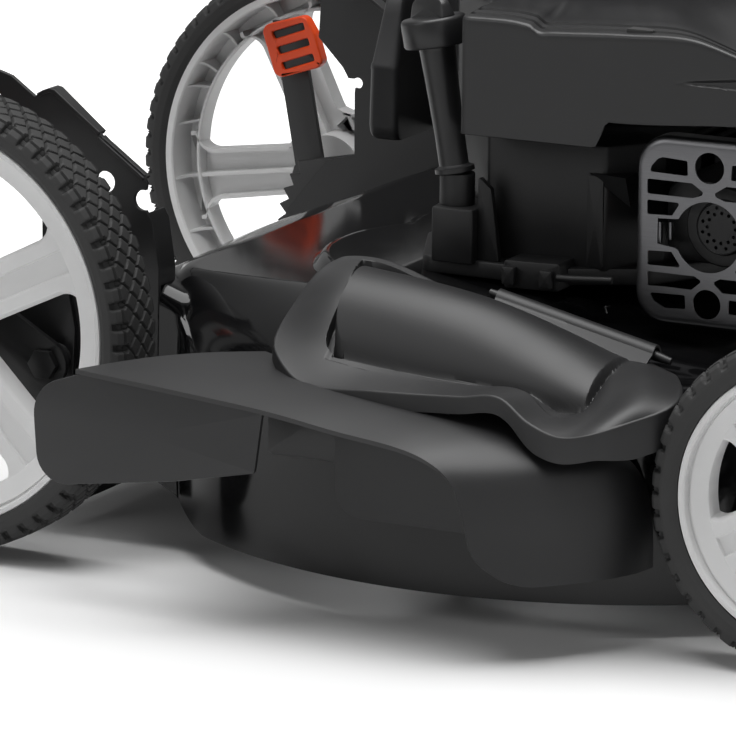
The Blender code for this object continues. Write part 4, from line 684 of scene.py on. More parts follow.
def dome_height(x, y):
    """Flat to the top's reach, then down to the skirt: height = (1 - share ** a) ** b, which is an ellipse at the sides
    and straighter at the rear."""
    turns = np.arctan2(y - CRANK_Y, x)
    reach = np.hypot(x, y - CRANK_Y)
    top = np.minimum(top_reach(turns), DECK_R - 0.004)
    level = TOP_Z - (TOP_Z - FRONT_TOP_Z) * np.clip((y - CRANK_Y + 0.07) / (TOP_FRONT + 0.07), 0, 1)
    share = np.clip((reach - top) / (DECK_R - top), 0, 1)
    back = smooth((-np.sin(turns) - 0.80) / 0.15)
    fall = (1 - share ** (2 - 0.7 * back)) ** (0.5 + 0.1 * back)
    return SHOULDER_Z + (level - SHOULDER_Z) * fall - 0.4 * np.clip(reach - DECK_R, 0, 1)


def tail_height(x, y):
    """The tail's roof: it climbs from the rear edge and dips under the dome, with rounded long edges."""
    over = np.clip((np.abs(x) - TAIL_X + TAIL_EDGE) / TAIL_EDGE, 0, 1)
    return flow(ROOF, y) - TAIL_EDGE * (1 - np.sqrt(1 - over ** 2)) - 0.5 * np.clip(np.abs(x) - TAIL_X, 0, 1)


def pad_height(x, y):
    """The engine pad: 8 mm up inside two overlapping rounds, with a soft edge as wide as it is high."""
    first = np.hypot(x, y - CRANK_Y) - 0.1300
    second = np.hypot(x - 0.0880, y - 0.2750) - 0.0970
    return PAD_RISE * smooth(0.5 - np.minimum(first, second) / PAD_RISE)


def deck_height(x, y):
    """Soft maximum of dome and tail: a small logarithm of summed exponentials. The pad stands on it."""
    a, b, k = dome_height(x, y), tail_height(x, y), 0.0030
    return np.maximum(a, b) + k * np.log1p(np.exp(-np.abs(a - b) / k)) * 0.6 + pad_height(x, y)


# %% Deck pressing
def deck_border(turns):
    """Distance from the eye to the outline: the farther of the skirt's circle and the tail's rectangle."""
    way = np.stack([np.cos(turns), np.sin(turns)], -1)
    offset = np.array([0.0, CRANK_Y]) - DECK_EYE
    along = way @ offset
    circle = along + np.sqrt(DECK_R ** 2 - offset @ offset + along ** 2)
    side = TAIL_X / np.maximum(np.abs(way[:, 0]), 1e-6)
    rear = np.where(way[:, 1] < -1e-6, (TAIL_REAR - DECK_EYE[1]) / np.minimum(way[:, 1], -1e-6), 0.0)
    return np.maximum(circle, np.where(way[:, 1] < 0, np.minimum(side, rear), 0.0))


def make_deck():
    """Rings from the shaft hole to the outline, then the skirt and its rolled foot, less the side mouth's quads. The
    faces look down and in, so the wall grows on the outside of the rings."""
    corner = math.atan2(TAIL_REAR - DECK_EYE[1], TAIL_X)
    turns = np.sort(np.concatenate([around(540) - math.pi, [corner, math.pi - corner - 2 * math.pi]]))
    border = deck_border(turns)
    way = np.stack([np.cos(turns), np.sin(turns)], -1)
    near, far = np.linspace(0.12, 0.55, 44), np.linspace(0.557, 0.90, 56)
    rings = []
    for share in np.concatenate([near, far, 1 - 0.1 * np.linspace(0.985, 0, 30) ** 2]):
        plan = DECK_EYE + way * (border * share)[:, None]
        rings.append(at_z(plan, deck_height(plan[:, 0], plan[:, 1])))
    edge, level = rings[-1][:, :2], rings[-1][:, 2]
    foot = SKIRT_Z + (TAIL_BOTTOM - SKIRT_Z) * smooth((0.165 - edge[:, 1]) / 0.060)
    rings += [at_z(edge, level + (foot - level) * share) for share in (0.25, 0.5, 0.75, 0.97)]
    rings += [at_z(edge, foot + rise) for rise in (0.0010, 0.0, -0.0008)]
    points, quads = grid(np.array(rings), False, True)
    x, y, z = points[quads].mean(1).T
    mouth = (x > MOUTH_X) & (y > MOUTH_Y[0]) & (y < MOUTH_Y[1]) & (z > MOUTH_LOW)
    deck = piece("deck_pressing", (points, quads[~mouth]), ENAMEL, "mower", "deck_shell", sharp=40, outward=False)
    return thickened(deck, DECK_WALL)


deck = make_deck()
print("deck", len(deck.data.polygons), "faces")

# %% [markdown]
# The side door is the piece nearest to the eye. It is one moulding: a flat flange with a turned-down skirt
# all round, and a barrel that stands up from a sunk pocket. Its height is a function of two shares, along
# the mower and out from the hinge, so the barrel, the groove at its end and the pocket are terms of one sum.

# %% Side door
HINGE_X, HINGE_SLOPE, ROD_Y = 0.2060, -0.2450, (0.3250, 0.4600)
COVER_Y = (0.3420, 0.4410)
DOOR_HINGE_X, DOOR_Y = HINGE_X + 0.0044, (0.2380, 0.4760)
LIP_X = [(0.27, 0.2830), (0.31, 0.2860), (0.35, 0.2850), (0.385, 0.2800), (0.40, 0.2830), (0.415, 0.2900),
         (0.43, 0.2850)]
GROOVE_DROP, POCKET_DROP = 0.0075, 0.0016
EDGE_X = [(0.0, 0.2890), (0.12, 0.2990), (0.30, 0.3030), (0.55, 0.3035), (0.66, 0.3045), (0.76, 0.3110), (0.86, 0.3140),
          (0.94, 0.3080), (1.0, 0.2920)]
FRONT_SHIFT = [(0.0, -0.024), (0.2, -0.014), (0.45, -0.002), (0.75, 0.003), (1.0, -0.008)]
REAR_SHIFT = [(0.0, 0.010), (0.2, 0.000), (0.45, -0.0075), (0.75, -0.0070), (1.0, 0.0010)]
FRAME_U = np.array([0.0, 0.12, 0.30, 0.55, 0.66, 0.75, 0.85, 0.93, 1.0])
FRAME_S = np.array([0.0, 0.20, 0.45, 0.75, 1.0])
FRAME_Z = np.array([
    (0.1950, 0.1880, 0.1700, 0.1550, 0.1450), (0.1930, 0.1895, 0.1770, 0.1535, 0.1385),
    (0.1820, 0.1780, 0.1660, 0.1485, 0.1400), (0.1700, 0.1660, 0.1520, 0.1450, 0.1432),
    (0.1640, 0.1610, 0.1480, 0.1445, 0.1455), (0.1570, 0.1545, 0.1420, 0.1350, 0.1350),
    (0.1545, 0.1545, 0.1500, 0.1395, 0.1300), (0.1520, 0.1540, 0.1520, 0.1450, 0.1335),
    (0.1475, 0.1500, 0.1480, 0.1440, 0.1370),
])
CREST = [(0.268, 0.1940), (0.3113, 0.1898), (0.3493, 0.1838), (0.3995, 0.1690), (0.4320, 0.1572)]
OUTER_FOOT = [(0.2676, 0.1531), (0.3141, 0.1490), (0.3519, 0.1453), (0.3869, 0.1435), (0.4284, 0.1392)]
INNER_FOOT = [(0.268, 0.1830), (0.3408, 0.1700), (0.3719, 0.1630), (0.4211, 0.1500)]
BARREL_X = (0.2160, 0.2400, 0.2785)
BARREL_Y = (0.2680, 0.4300)


def hinge_height(y):
    """Height of the door's rod: it falls evenly forwards."""
    return 0.1832 + HINGE_SLOPE * (y - ROD_Y[0])


def frame_height(u, s):
    """The flange's height: smooth curves along the door through each column of the chart, then across the columns by
    the same cubic as flow()."""
    columns = np.array([flow(list(zip(FRAME_U, FRAME_Z[:, k])), u) for k in range(len(FRAME_S))])
    slopes = np.gradient(columns, FRAME_S, axis=0)
    k = np.clip(np.searchsorted(FRAME_S, s, side="right") - 1, 0, len(FRAME_S) - 2)
    span = FRAME_S[k + 1] - FRAME_S[k]
    t = (s - FRAME_S[k]) / span
    pick = lambda table, j: np.take_along_axis(table, j[None], 0)[0]
    return ((2 * t ** 3 - 3 * t ** 2 + 1) * pick(columns, k) + (t ** 3 - 2 * t ** 2 + t) * span * pick(slopes, k)
            + (3 * t ** 2 - 2 * t ** 3) * pick(columns, k + 1) + (t ** 3 - t ** 2) * span * pick(slopes, k + 1))


def barrel_height(x, y):
    """The barrel: a flattened arch across, from the foot on either side up to the crest."""
    low, middle, high = BARREL_X
    outer = np.clip((x - middle) / (high - middle), 0, 1)
    inner = np.clip((middle - x) / (middle - low), 0, 1)
    crest = flow(CREST, y)
    arch = lambda foot, share, power, root: foot + (crest - foot) * (1 - share ** power) ** root
    outer_side = arch(flow(OUTER_FOOT, y), outer, 2.0, 0.62)
    inner_side = arch(flow(INNER_FOOT, y), inner, 2.4, 0.60)
    return np.where(x > middle, outer_side, inner_side)


def door_surface(u, s):
    """Points of the door, from hinge to edge with bowed ends, at the frame's height or at the barrel's inside it."""
    x = DOOR_HINGE_X + (flow(EDGE_X, u) - DOOR_HINGE_X) * s
    y = DOOR_Y[0] + (DOOR_Y[1] - DOOR_Y[0]) * u + flow(REAR_SHIFT, s) * (1 - u) + flow(FRONT_SHIFT, s) * u
    z = frame_height(u, s)
    inside = smooth((x - BARREL_X[0] + 0.0010) / 0.0010) * (1 - smooth((x - BARREL_X[2]) / 0.0010))
    corner = 1 - np.sqrt(1 - np.clip((x - 0.2660) / 0.0118, 0, 0.99) ** 2)
    rear_line = BARREL_Y[0] + 0.004 * (x - 0.25) / 0.03 * (x < 0.25) + 0.010 * corner
    along = smooth((y - rear_line) / 0.0018) * (1 - smooth((y - BARREL_Y[1]) / 0.0018))
    groove = smooth((y - rear_line + 0.0050) / 0.0012) * (1 - smooth((y - rear_line - 0.0004) / 0.0012)) * inside
    pocket = (smooth((flow(LIP_X, y) - x) / 0.0012) * smooth((x - 0.270) / 0.004) * smooth((y - BARREL_Y[0]) / 0.004)
              * (1 - smooth((y - BARREL_Y[1]) / 0.003)))
    z = z - GROOVE_DROP * groove - POCKET_DROP * pocket
    return np.stack([x, y, z + (barrel_height(x, y) - z) * inside * along], -1)


def skirted(points, radius, drop):
    """A sheet with its edge rolled down: a quarter circle outwards and then straight down, all round its border."""
    border = np.concatenate([points[0, :-1], points[:-1, -1], points[-1, :0:-1], points[:0:-1, 0]])
    out = at_z(outward_of(border[:, :2]), 0.0)
    down = np.array([0, 0, 1])
    rows = [border]
    for bend in math.pi / 2 * np.array([0.25, 0.5, 0.75, 1.0]):
        rows.append(border + out * radius * math.sin(bend) - down * radius * (1 - math.cos(bend)))
    for part in (0.5, 1.0):
        rows.append(rows[4] + out * 0.0006 * part - down * (drop(border) * part)[:, None])
    return join(grid(points), grid(np.array(rows), False, True))


def skirt_drop(border):
    """The straight part of the skirt: short at the rear and the hinge, deeper round the lobe and the front."""
    x, y = border[:, 0], border[:, 1]
    outer = smooth((x - 0.235) / 0.03)
    return 0.0020 + outer * (0.0042 + 0.0026 * smooth((y - 0.27) / 0.05) + 0.0050 * smooth((y - 0.398) / 0.02)
                             + 0.0065 * smooth((y - 0.448) / 0.02))


def make_door():
    """The moulding: surface and skirt as one sheet, then its wall."""
    u = spread((0, 0), (0.06, 14), (0.10, 8), (0.185, 52), (0.55, 34), (0.78, 26), (0.84, 26), (0.94, 16), (1.0, 14))
    v = spread((0, 0), (0.05, 5), (0.10, 12), (0.60, 30), (0.68, 12), (0.80, 34), (0.90, 14), (1.0, 10))
    round_rear = 1 - np.sqrt(1 - np.clip((0.095 - u) / 0.095, 0, 1) ** 2)
    round_front = 1 - np.sqrt(1 - np.clip((u - 0.90) / 0.10, 0, 1) ** 2)
    low = 0.06 * round_rear + 0.06 * round_front
    high = 1 - 0.24 * round_rear - 0.20 * round_front
    s = low[:, None] + (high - low)[:, None] * v[None, :]
    sheet = door_surface(np.broadcast_to(u[:, None], s.shape), s)
    door = piece("side_door_moulding", skirted(sheet, 0.0014, skirt_drop), DOOR_PLASTIC, "side_door", "side_door",
                 sharp=42)
    return thickened(door, 0.0024)


def make_hinge_cover():
    """A strip rolled into an open C round the rod: the arc runs over the top, then a web slopes out to the barrel."""
    y = np.linspace(*COVER_Y, 40)[:, None]
    turns = np.radians(np.linspace(215, 20, 20))
    share = (y - COVER_Y[0]) / (COVER_Y[1] - COVER_Y[0])
    radius = 0.0056
    x = HINGE_X + radius * np.cos(turns) + 0 * y
    z = hinge_height(y) - 0.0022 * (1 - share) + radius * np.sin(turns)
    web = np.linspace(0, 1, 6)[1:]
    web_x = x[:, -1:] + (0.006 + 0.006 * share) * web
    web_z = z[:, -1:] - (0.0035 + 0.002 * share) * web
    x, z = np.hstack([x, web_x]), np.hstack([z, web_z])
    cover = piece("side_door_hinge_cover", grid(np.stack([x, y + 0 * x, z], -1)), DOOR_PLASTIC, "side_door", sharp=50,
                  outward=False)
    return thickened(cover, 0.0016, 0.0)


door = make_door()
make_hinge_cover()
pin = np.linspace(COVER_Y[0] - 0.006, COVER_Y[1] + 0.009, 12)
pin = np.column_stack([np.full(12, HINGE_X), pin, hinge_height(pin)])
piece("side_door_pin", pipe(pin, [0.0022] + [0.0030] * 10 + [0.0022], 20), POWDER, body_of("side_door_rod"),
      "side_door_rod")
for y in (0.3440, 0.3540):
    prong = rounded([(y - 0.0024, 0.1270), (y + 0.0024, 0.1270), (y + 0.0018, 0.1420), (y - 0.0018, 0.1420)], 0.0008, 3)
    piece(f"side_door_stop_{round(y * 1000)}", plate(prong, 0.2960, 0.2985), DOOR_PLASTIC, "side_door")
print("door", len(door.data.polygons), "faces, box", np.round(np.array(door.bound_box)[[0, 6]], 3).tolist())

# %% [markdown]
# What is stamped from sheet starts as an outline with holes. Solidify gives it the sheet's thickness and a
# bevel takes the sharpness off the cut edges. A folded strip is a line carried across, with the same wall.

# %% Stampings
def edged(made, width=0.0006, steps=2, sharp=40.0):
    """Rounds the hard edges of a piece with a live bevel."""
    bevel = made.modifiers.new("soft_edges", "BEVEL")
    bevel.width, bevel.segments, bevel.limit_method, bevel.angle_limit = width, steps, "ANGLE", math.radians(sharp)
    bevel.harden_normals = True
    return made


def stamped(name, outline, holes, near, far, finish, body, *stands_for, soft=0.0006):
    """A flat part in an upright plane: the cut sheet, thickened both ways from its middle, with softened edges."""
    points, faces = cut_sheet(outline, holes)
    made = piece(name, triangles(at_x((near + far) / 2, points), faces), finish, body, *stands_for)
    return edged(thickened(made, abs(far - near), 0.0), soft)


def ribbon(name, line, near, far, wall, body, last=None):
    """A folded strip: the (y, z) line carried across from near to far, or to another depth at its last point."""
    line = np.array(line)
    reach = np.linspace(far, far if last is None else last, len(line))
    rows = [at_x(near + (reach - near) * share, line) for share in (0.0, 0.5, 1.0)]
    made = piece(name, grid(np.array(rows)), POWDER, body, outward=False, sharp=30)
    up = np.mean([face.normal[2] for face in made.data.polygons])
    return edged(thickened(made, wall, -1.0 if up > 0 else 1.0), 0.0005)


# %% [markdown]
# The deflector under the door throws the clippings down. It is one moulded sheet: a top that leaves the
# deck level and then turns down into a front wall. Two curves, one at the deck and one at the outer edge,
# carry it, and every point lies on a straight line between them. A rear wall and a guide hang below.

# %% Deflector
OUT_X, CORNER_R, FOOT_Z = 0.3450, 0.0240, 0.0450
LIP = [(0.142, 0.1400), (0.205, 0.1350), (0.262, 0.1300), (0.308, 0.1235), (0.345, 0.1190), (0.366, 0.1130),
       (0.380, 0.1030), (0.387, 0.0860), (0.392, 0.0660), (0.400, FOOT_Z)]
ROOT = [(0.2525, 0.215, 0.1400), (0.266, 0.250, 0.1375), (0.271, 0.290, 0.1350), (0.2765, 0.330, 0.1320),
        (0.2785, 0.375, 0.1270), (0.2770, 0.415, 0.1225), (0.2690, 0.445, 0.1130), (0.2590, 0.457, 0.0960),
        (0.2550, 0.461, 0.0700), (0.2530, 0.461, FOOT_Z)]


def make_deflector():
    """The sheet between the two curves: lines from root to lip, bowed up a little in the middle of the top."""
    t = spread((0, 0), (0.55, 40), (0.85, 40), (0.95, 14), (1.0, 14))
    follow = lambda places: flow(list(zip(np.arange(10) / 9, places)), t)[:, None]
    lip_y, lip_z = map(follow, zip(*LIP))
    root_x, root_y, root_z = map(follow, zip(*ROOT))
    rise = np.clip((CORNER_R - (lip_z - FOOT_Z)) / CORNER_R, 0, 1)
    share = np.linspace(0, 1, 30)[None, :] * (1 - CORNER_R * (1 - np.sqrt(1 - rise ** 2)) / 0.110)
    front = np.clip((root_y - 0.375) / 0.08, 0, 1)
    x = root_x + (OUT_X - root_x) * share
    y = root_y + (lip_y - root_y) * share ** (1 + 0.8 * front)
    z = root_z + (lip_z - root_z) * share + 0.003 * np.sin(math.pi * share) * (1 - front)
    sheet = piece("side_deflector_sheet", grid(np.stack([x, y, z], -1)), DOOR_PLASTIC, "mower", "side_deflector",
                  outward=False, sharp=50)
    return thickened(sheet, 0.0030, 0.0)


make_deflector()
rear_wall = rounded([(0.117, 0.070), (0.113, 0.128), (0.150, 0.1405), (0.262, 0.1297), (0.257, 0.094), (0.205, 0.083)],
                    (0.018, 0.022, 0.010, 0.001, 0.002, 0.06), 8)
piece("deflector_rear_wall", plate(rear_wall, OUT_X - 0.0035, OUT_X - 0.0003), DOOR_PLASTIC, "mower")
guide = rounded([(0.276, 0.058), (0.430, 0.058), (0.430, 0.112), (0.395, 0.118), (0.276, 0.1345)],
                (0.016, 0.010, 0.004, 0.01, 0.002), 8)
slot = rounded([(0.3840, 0.0740), (0.4020, 0.0950), (0.4050, 0.0720)], 0.002, 4)
stamped("deflector_guide", guide, [slot], 0.2790, 0.2820, DOOR_PLASTIC, "mower", soft=0.0008)
# A dark plate inside the chute is painted shade: it stands for the shadow there and closes the view through it.
painted_shade_outline = rounded([(0.2300, 0.0880), (0.2900, 0.0880), (0.2900, 0.1330), (0.2300, 0.1370)], 0.003, 4)
piece("chute_painted_shade_plate", plate(painted_shade_outline, 0.2755, 0.2775), POWDER, "mower")
print("deflector and its walls made")

# %% [markdown]
# Solids that are right but hard-edged are copied, merged into flats and bevelled.

# %% Softened copies
def softened(node, name, finish, width=0.0012, steps=2):
    """A copy of a solid with its triangles merged into flats and every hard edge rounded by a bevel."""
    mesh = nodes[node].data.copy()
    mesh.name = name
    work = bmesh.new()
    work.from_mesh(mesh)
    bmesh.ops.remove_doubles(work, verts=work.verts, dist=1e-5)
    bmesh.ops.dissolve_limit(work, angle_limit=math.radians(0.8), verts=work.verts, edges=work.edges)
    work.to_mesh(mesh)
    work.free()
    mesh.materials.clear()
    mesh.materials.append(finish)
    mesh.shade_smooth()
    made = bpy.data.objects.new(name, mesh)
    bpy.context.scene.collection.objects.link(made)
    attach(made, body_of(node))
    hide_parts(node)
    return edged(made, width, steps, 35.0)


# %% [markdown]
# The blower shroud is a thin moulded cover. Its outline is carried up from a stepped lower edge, round a
# small fillet and over three shallow steps to the starter. The right side is flat, its top edge dips at a
# notch and falls away to the front, and a crease opens in the side like a long leaf.

# %% Blower shroud
FILLET, STARTER_R, STARTER_SEAT = 0.0030, 0.0880, 0.3390
SHROUD = [
    (0.164, 0.2950), (0.164, 0.3820), (0.164, 0.3900), (0.164, 0.4860), (0.156, 0.5120), (0.130, 0.5300),
    (0.070, 0.5350), (0.0, 0.5390), (-0.070, 0.5350), (-0.131, 0.5260), (-0.157, 0.5050), (-0.165, 0.4700),
    (-0.165, 0.4000), (-0.165, 0.3300), (-0.159, 0.2720), (-0.125, 0.2380), (-0.080, 0.2280), (-0.020, 0.2280),
    (0.040, 0.2320), (0.080, 0.2520), (0.104, 0.2840), (0.125, 0.2950),
]
SHROUD_RADII = [0.0012, 0.001, 0.001, 0.03] + [0.02] * 12 + [0.01] * 4 + [0.004] * 2
SIDE_TOP = [(0.22, 0.3310), (0.295, 0.3310), (0.334, 0.3302), (0.3375, 0.3296), (0.3430, 0.3262), (0.352, 0.3266),
            (0.40, 0.3292), (0.445, 0.3292), (0.468, 0.3228), (0.50, 0.3120), (0.54, 0.3040)]
SHROUD_STEPS = [(0.0045, 0.0), (0.0006, -0.0012), (0.0016, 0.0), (0.0006, 0.0016), (0.0045, 0.0003), (0.0006, -0.0012),
                (0.0016, 0.0), (0.0006, 0.0020), (0.0050, 0.0004)]


def make_shroud():
    """Rows from the lower edge to the starter's hole: heights follow the side's top edge, insets follow the steps."""
    plan = even(rounded(SHROUD, SHROUD_RADII, 6), 420)
    x, y = plan.T
    crank = np.array([0.0, CRANK_Y])
    out = plan - crank
    out = out / np.linalg.norm(out, axis=1)[:, None]
    low = 0.2620 + 0.0155 * smooth((y - 0.3800) / 0.0085) + 0.0050 * smooth((y - 0.39) / 0.09)
    top = flow(SIDE_TOP, y)
    opening = np.clip((y - 0.4300) / 0.0375, 0, 1) * (x > 0.15)
    rows = [at_z(plan - out * 0.0018, low + 0.0002), at_z(plan - out * 0.0006, low - 0.0004)]
    for share in np.concatenate([[0.0, 0.012], np.linspace(0.04, 0.96, 64), [1.0]]):
        level = low + (top - FILLET - low) * share
        past_low = smooth((level - (0.3036 - 0.0006 * opening)) / 0.0006)
        leaf = past_low * (1 - smooth((level - (0.3036 + 0.0042 * opening)) / 0.0012))
        rows.append(at_z(plan - out * (0.0016 * leaf * np.minimum(opening * 2, 1))[:, None], level))
    for bend in np.radians([15, 35, 55, 75, 90]):
        rows.append(at_z(plan - out * FILLET * (1 - math.cos(bend)), top - FILLET + FILLET * math.sin(bend)))
    inset = FILLET
    for step_in, rise in SHROUD_STEPS:
        inset, top = inset + step_in, top + rise
        rows.append(at_z(plan - out * inset, top + 0.0012 * smooth(inset / 0.02)))
    edge, level = rows[-1][:, :2], rows[-1][:, 2]
    for share in np.linspace(0.08, 1.0, 20):
        ends = crank + out * STARTER_R
        rows.append(at_z(edge + (ends - edge) * share, level + (STARTER_SEAT - level) * smooth(share)))
    rows.append(rows[-1] - [0, 0, 0.0022])
    shell = piece("blower_shroud_moulding", grid(np.array(rows), False, True), COVER_PLASTIC, "mower", "blower_shroud",
                  sharp=30, outward=False)
    return thickened(facing(shell, 2), 0.0018, even_offset=False)


shroud = make_shroud()
latch = oblong(0.3965, 0.4125, 0.3258, 0.3316, 0.0008)
piece("shroud_latch_pocket", plate(latch, 0.1500, 0.1580, 0.0003), RUBBER, "mower")
print("shroud", len(shroud.data.polygons), "faces")

# %% [markdown]
# Cooling air is drawn in round the starter. The housing is a turned shell whose quads are left out where a
# vent is: tall slots in the wall, and longer ones over the shoulder. A wall from Solidify shows their depth.

# %% Recoil starter housing and its handle
HOUSING = np.array([
    (0.1040, 0.0), (0.1042, 0.0040), (0.1038, 0.0130), (0.1020, 0.0185), (0.0960, 0.0275), (0.0850, 0.0340),
    (0.0700, 0.0388), (0.0500, 0.0410), (0.0340, 0.0420), (0.0325, 0.0426), (0.0320, 0.0446), (0.0300, 0.0450),
    (0.0150, 0.0454), (0.0002, 0.0455),
])
HOUSING_Z, VENTS = 0.3393, 40
SLOT_RUNS = ((0.0030, 0.0125), (0.0200, 0.0450))
PULL_X, PULL_Y = -0.046, CRANK_Y - 0.0963


def make_housing():
    """A turned profile with a ring of slots in the wall and one over the shoulder: each vent takes ten columns, and its
    slot the middle five."""
    lengths = run_lengths(HOUSING)
    along = np.sort(np.concatenate([np.linspace(0, lengths[-1], 96), lengths[8:12]]))
    radius, height = (np.interp(along, lengths, HOUSING[:, i])[:, None] for i in (0, 1))
    turns = around(VENTS * 10)
    flat, quads = grid(turned(radius, HOUSING_Z + height, (0.0, CRANK_Y), turns), False, True)
    where, column = along[quads[:, 0] // len(turns)], quads[:, 0] % len(turns) % 10
    slotted = np.any([(where > first) & (where < last) for first, last in SLOT_RUNS], axis=0)
    slot = (column >= 2) & (column <= 6) & slotted
    shell = piece("recoil_housing_moulding", (flat, quads[~slot]), COVER_PLASTIC, "mower", "recoil_housing",
                  outward=False, sharp=32)
    return thickened(facing(shell, 2), 0.0022)


def make_pull():
    """The starter handle: a crossbar of rounded section that bows a little, on a short tapered stem."""
    t = np.linspace(-1, 1, 41)[:, None]
    turns = around(28)
    swell = 0.0095 * (1 - np.abs(t) ** 6) ** 0.5 * (1 - 0.12 * t ** 2) + 0.00002
    middle_z = HOUSING_Z + 0.024
    bar = np.stack([PULL_X + 0.046 * t + 0 * turns, PULL_Y - 0.0200 + 0.002 * t ** 2 + swell * np.cos(turns),
                    middle_z + swell * 0.86 * np.sin(turns)], -1)
    radius, reach = np.array([(0.0092, 0.0), (0.0080, 0.004), (0.0066, 0.010), (0.0072, 0.016)]).T[:, :, None]
    stem = np.stack([PULL_X + radius * np.cos(turns), PULL_Y - reach + 0 * turns,
                     middle_z + radius * np.sin(turns)], -1)
    shape = join(grid(bar, False, True, True), grid(stem, False, True, True))
    return piece("starter_handle_grip", shape, COVER_PLASTIC, body_of("starter_handle"), "starter_handle")


housing = make_housing()
make_pull()
seat = rounded([(0.222, 0.3455), (0.262, 0.3455), (0.262, 0.3750), (0.246, 0.3790), (0.222, 0.3750)], 0.005, 5)
piece("starter_handle_seat", plate(seat, -0.0630, -0.0290, 0.002), COVER_PLASTIC, "mower")
print("housing", len(housing.data.polygons), "faces")

# %% [markdown]
# The muffler guard is stamped from bright sheet: a flat face pierced by slots of different shapes, and a
# border rolled back in a quarter ellipse. The slots are drawn on one side and mirrored over the middle.
# Behind the round hole sits the muffler's outlet, a small dish pierced with two rings of holes.

# %% Muffler guard
GUARD_X, GUARD_MID = 0.1600, (0.4508, 0.2158)
GUARD_BORDER, GUARD_ROLL = 0.0052, 0.0048
GUARD_SLOTS = [
    [(0.4137, 0.2507), (0.4150, 0.2545), (0.4185, 0.2585), (0.4215, 0.2598), (0.4370, 0.2590), (0.4375, 0.2502)],
    [(0.4123, 0.2465), (0.4402, 0.2464), (0.4472, 0.2418), (0.4465, 0.2398), (0.4408, 0.2378), (0.4125, 0.2378)],
    [(0.4125, 0.2343), (0.4332, 0.2342), (0.4282, 0.2264), (0.4127, 0.2258)],
    [(0.4133, 0.2047), (0.4282, 0.2053), (0.4345, 0.1966), (0.4133, 0.1963)],
    [(0.4133, 0.1926), (0.4428, 0.1925), (0.4475, 0.1899), (0.4410, 0.1843), (0.4240, 0.1845), (0.4135, 0.1841)],
    [(0.4145, 0.1803), (0.4372, 0.1808), (0.4376, 0.1726), (0.4245, 0.1720), (0.4178, 0.1755)],
]


def make_guard():
    """The face with its holes, then the border: a quarter ellipse 5 mm deep and a straight wall back to the engine."""
    edge = even(oblong(0.4050, 0.4966, 0.1623, 0.2721, 0.0190, 10), 160)
    out = outward_of(edge)
    face = edge - out * GUARD_BORDER
    holes = []
    for slot in GUARD_SLOTS:
        loop = rounded(slot, 0.0011, 3)
        holes += [loop, np.column_stack([2 * GUARD_MID[0] - loop[:, 0], loop[:, 1]])[::-1]]
    holes += [ring((GUARD_MID[0], 0.2560), 0.0091), ring((GUARD_MID[0], 0.1767), 0.0087)]
    round_hole = arc(GUARD_MID, 0.0206, np.radians(np.linspace(-154, 154, 46)))
    holes.append(np.vstack([round_hole, [(0.4300, 0.2246), (0.4193, 0.2240), (0.4193, 0.2092), (0.4300, 0.2078)]]))
    flat, faces = cut_sheet(face, holes)
    rows = [at_x(GUARD_X - GUARD_ROLL * (1 - math.cos(bend)), face + out * GUARD_BORDER * math.sin(bend))
            for bend in np.radians(np.linspace(0, 90, 8))]
    rows += [at_x(GUARD_X - back, edge) for back in (0.0100, 0.0148)]
    sheet = join(triangles(at_x(GUARD_X, flat), faces), grid(np.array(rows), False, True))
    return thickened(facing(piece("muffler_guard_stamping", sheet, BRUSHED, body_of("muffler_guard"), "muffler_guard",
                                  sharp=50), 0), 0.0012)


guard = make_guard()
for number, tab in enumerate(((0.4196, 0.4212, 0.2098, 0.2218), (0.4262, 0.4277, 0.2120, 0.2222))):
    piece(f"muffler_guard_clip_{number + 1}", plate(oblong(*tab, 0.0004, 2), 0.1560, 0.1596, 0.0003), BRUSHED,
          body_of("muffler_guard"))


def make_muffler():
    """A pressed box with soft corners, and on it the outlet dish: a turned rim round a disc with two rings of holes."""
    box = plate(oblong(0.4160, 0.4960, 0.1960, 0.2460, 0.0140, 8), 0.0663, 0.1447, 0.006)
    piece("muffler_body", box, CAST, "mower", "muffler")
    middle = (0.4550, 0.2200)
    radius, level = np.array([(0.0235, 0.1440), (0.0235, 0.1462), (0.0225, 0.1475), (0.0165, 0.1478), (0.0158, 0.1490),
                              (0.0156, 0.1508), (0.0150, 0.1514), (0.0146, 0.1508)]).T[:, :, None]
    dish = turned(radius, level, middle, around(72), along_x=True)
    holes = [ring((middle[0] + r * math.cos(a), middle[1] + r * math.sin(a)), 0.0011, 10)
             for r, shift in ((0.0088, 0.0), (0.0120, 0.5)) for a in (np.arange(12) + shift) * math.pi / 6]
    flat, faces = cut_sheet(ring(middle, 0.0146, 72), holes)
    outlet = join(grid(dish, False, True), triangles(at_x(0.1508, flat), faces))
    outlet = piece("muffler_outlet", outlet, CAST, "mower", outward=False, sharp=30)
    thickened(facing(outlet, 0), 0.0010)


make_muffler()
softened("cylinder", "cylinder_fins", CAST, 0.0008)
print("guard", len(guard.data.polygons), "faces")

# %% [markdown]
# Behind the shroud stand the crankcase and the oil filler. The casting keeps the solid's shape with its
# edges rounded, and the ribs and lugs of the mould stand on it. The filler tube is moulded in one run: a
# foot, a collar and a pipe that widens upwards, closed by a cap with one broad wing for the fingers.

# %% Crankcase, filler tube and cap
def slab(outline, low, high, soft=0.0012):
    """An upright slab: the outline in plan, from a low to a high level."""
    return plate(outline, low, high, soft, True)


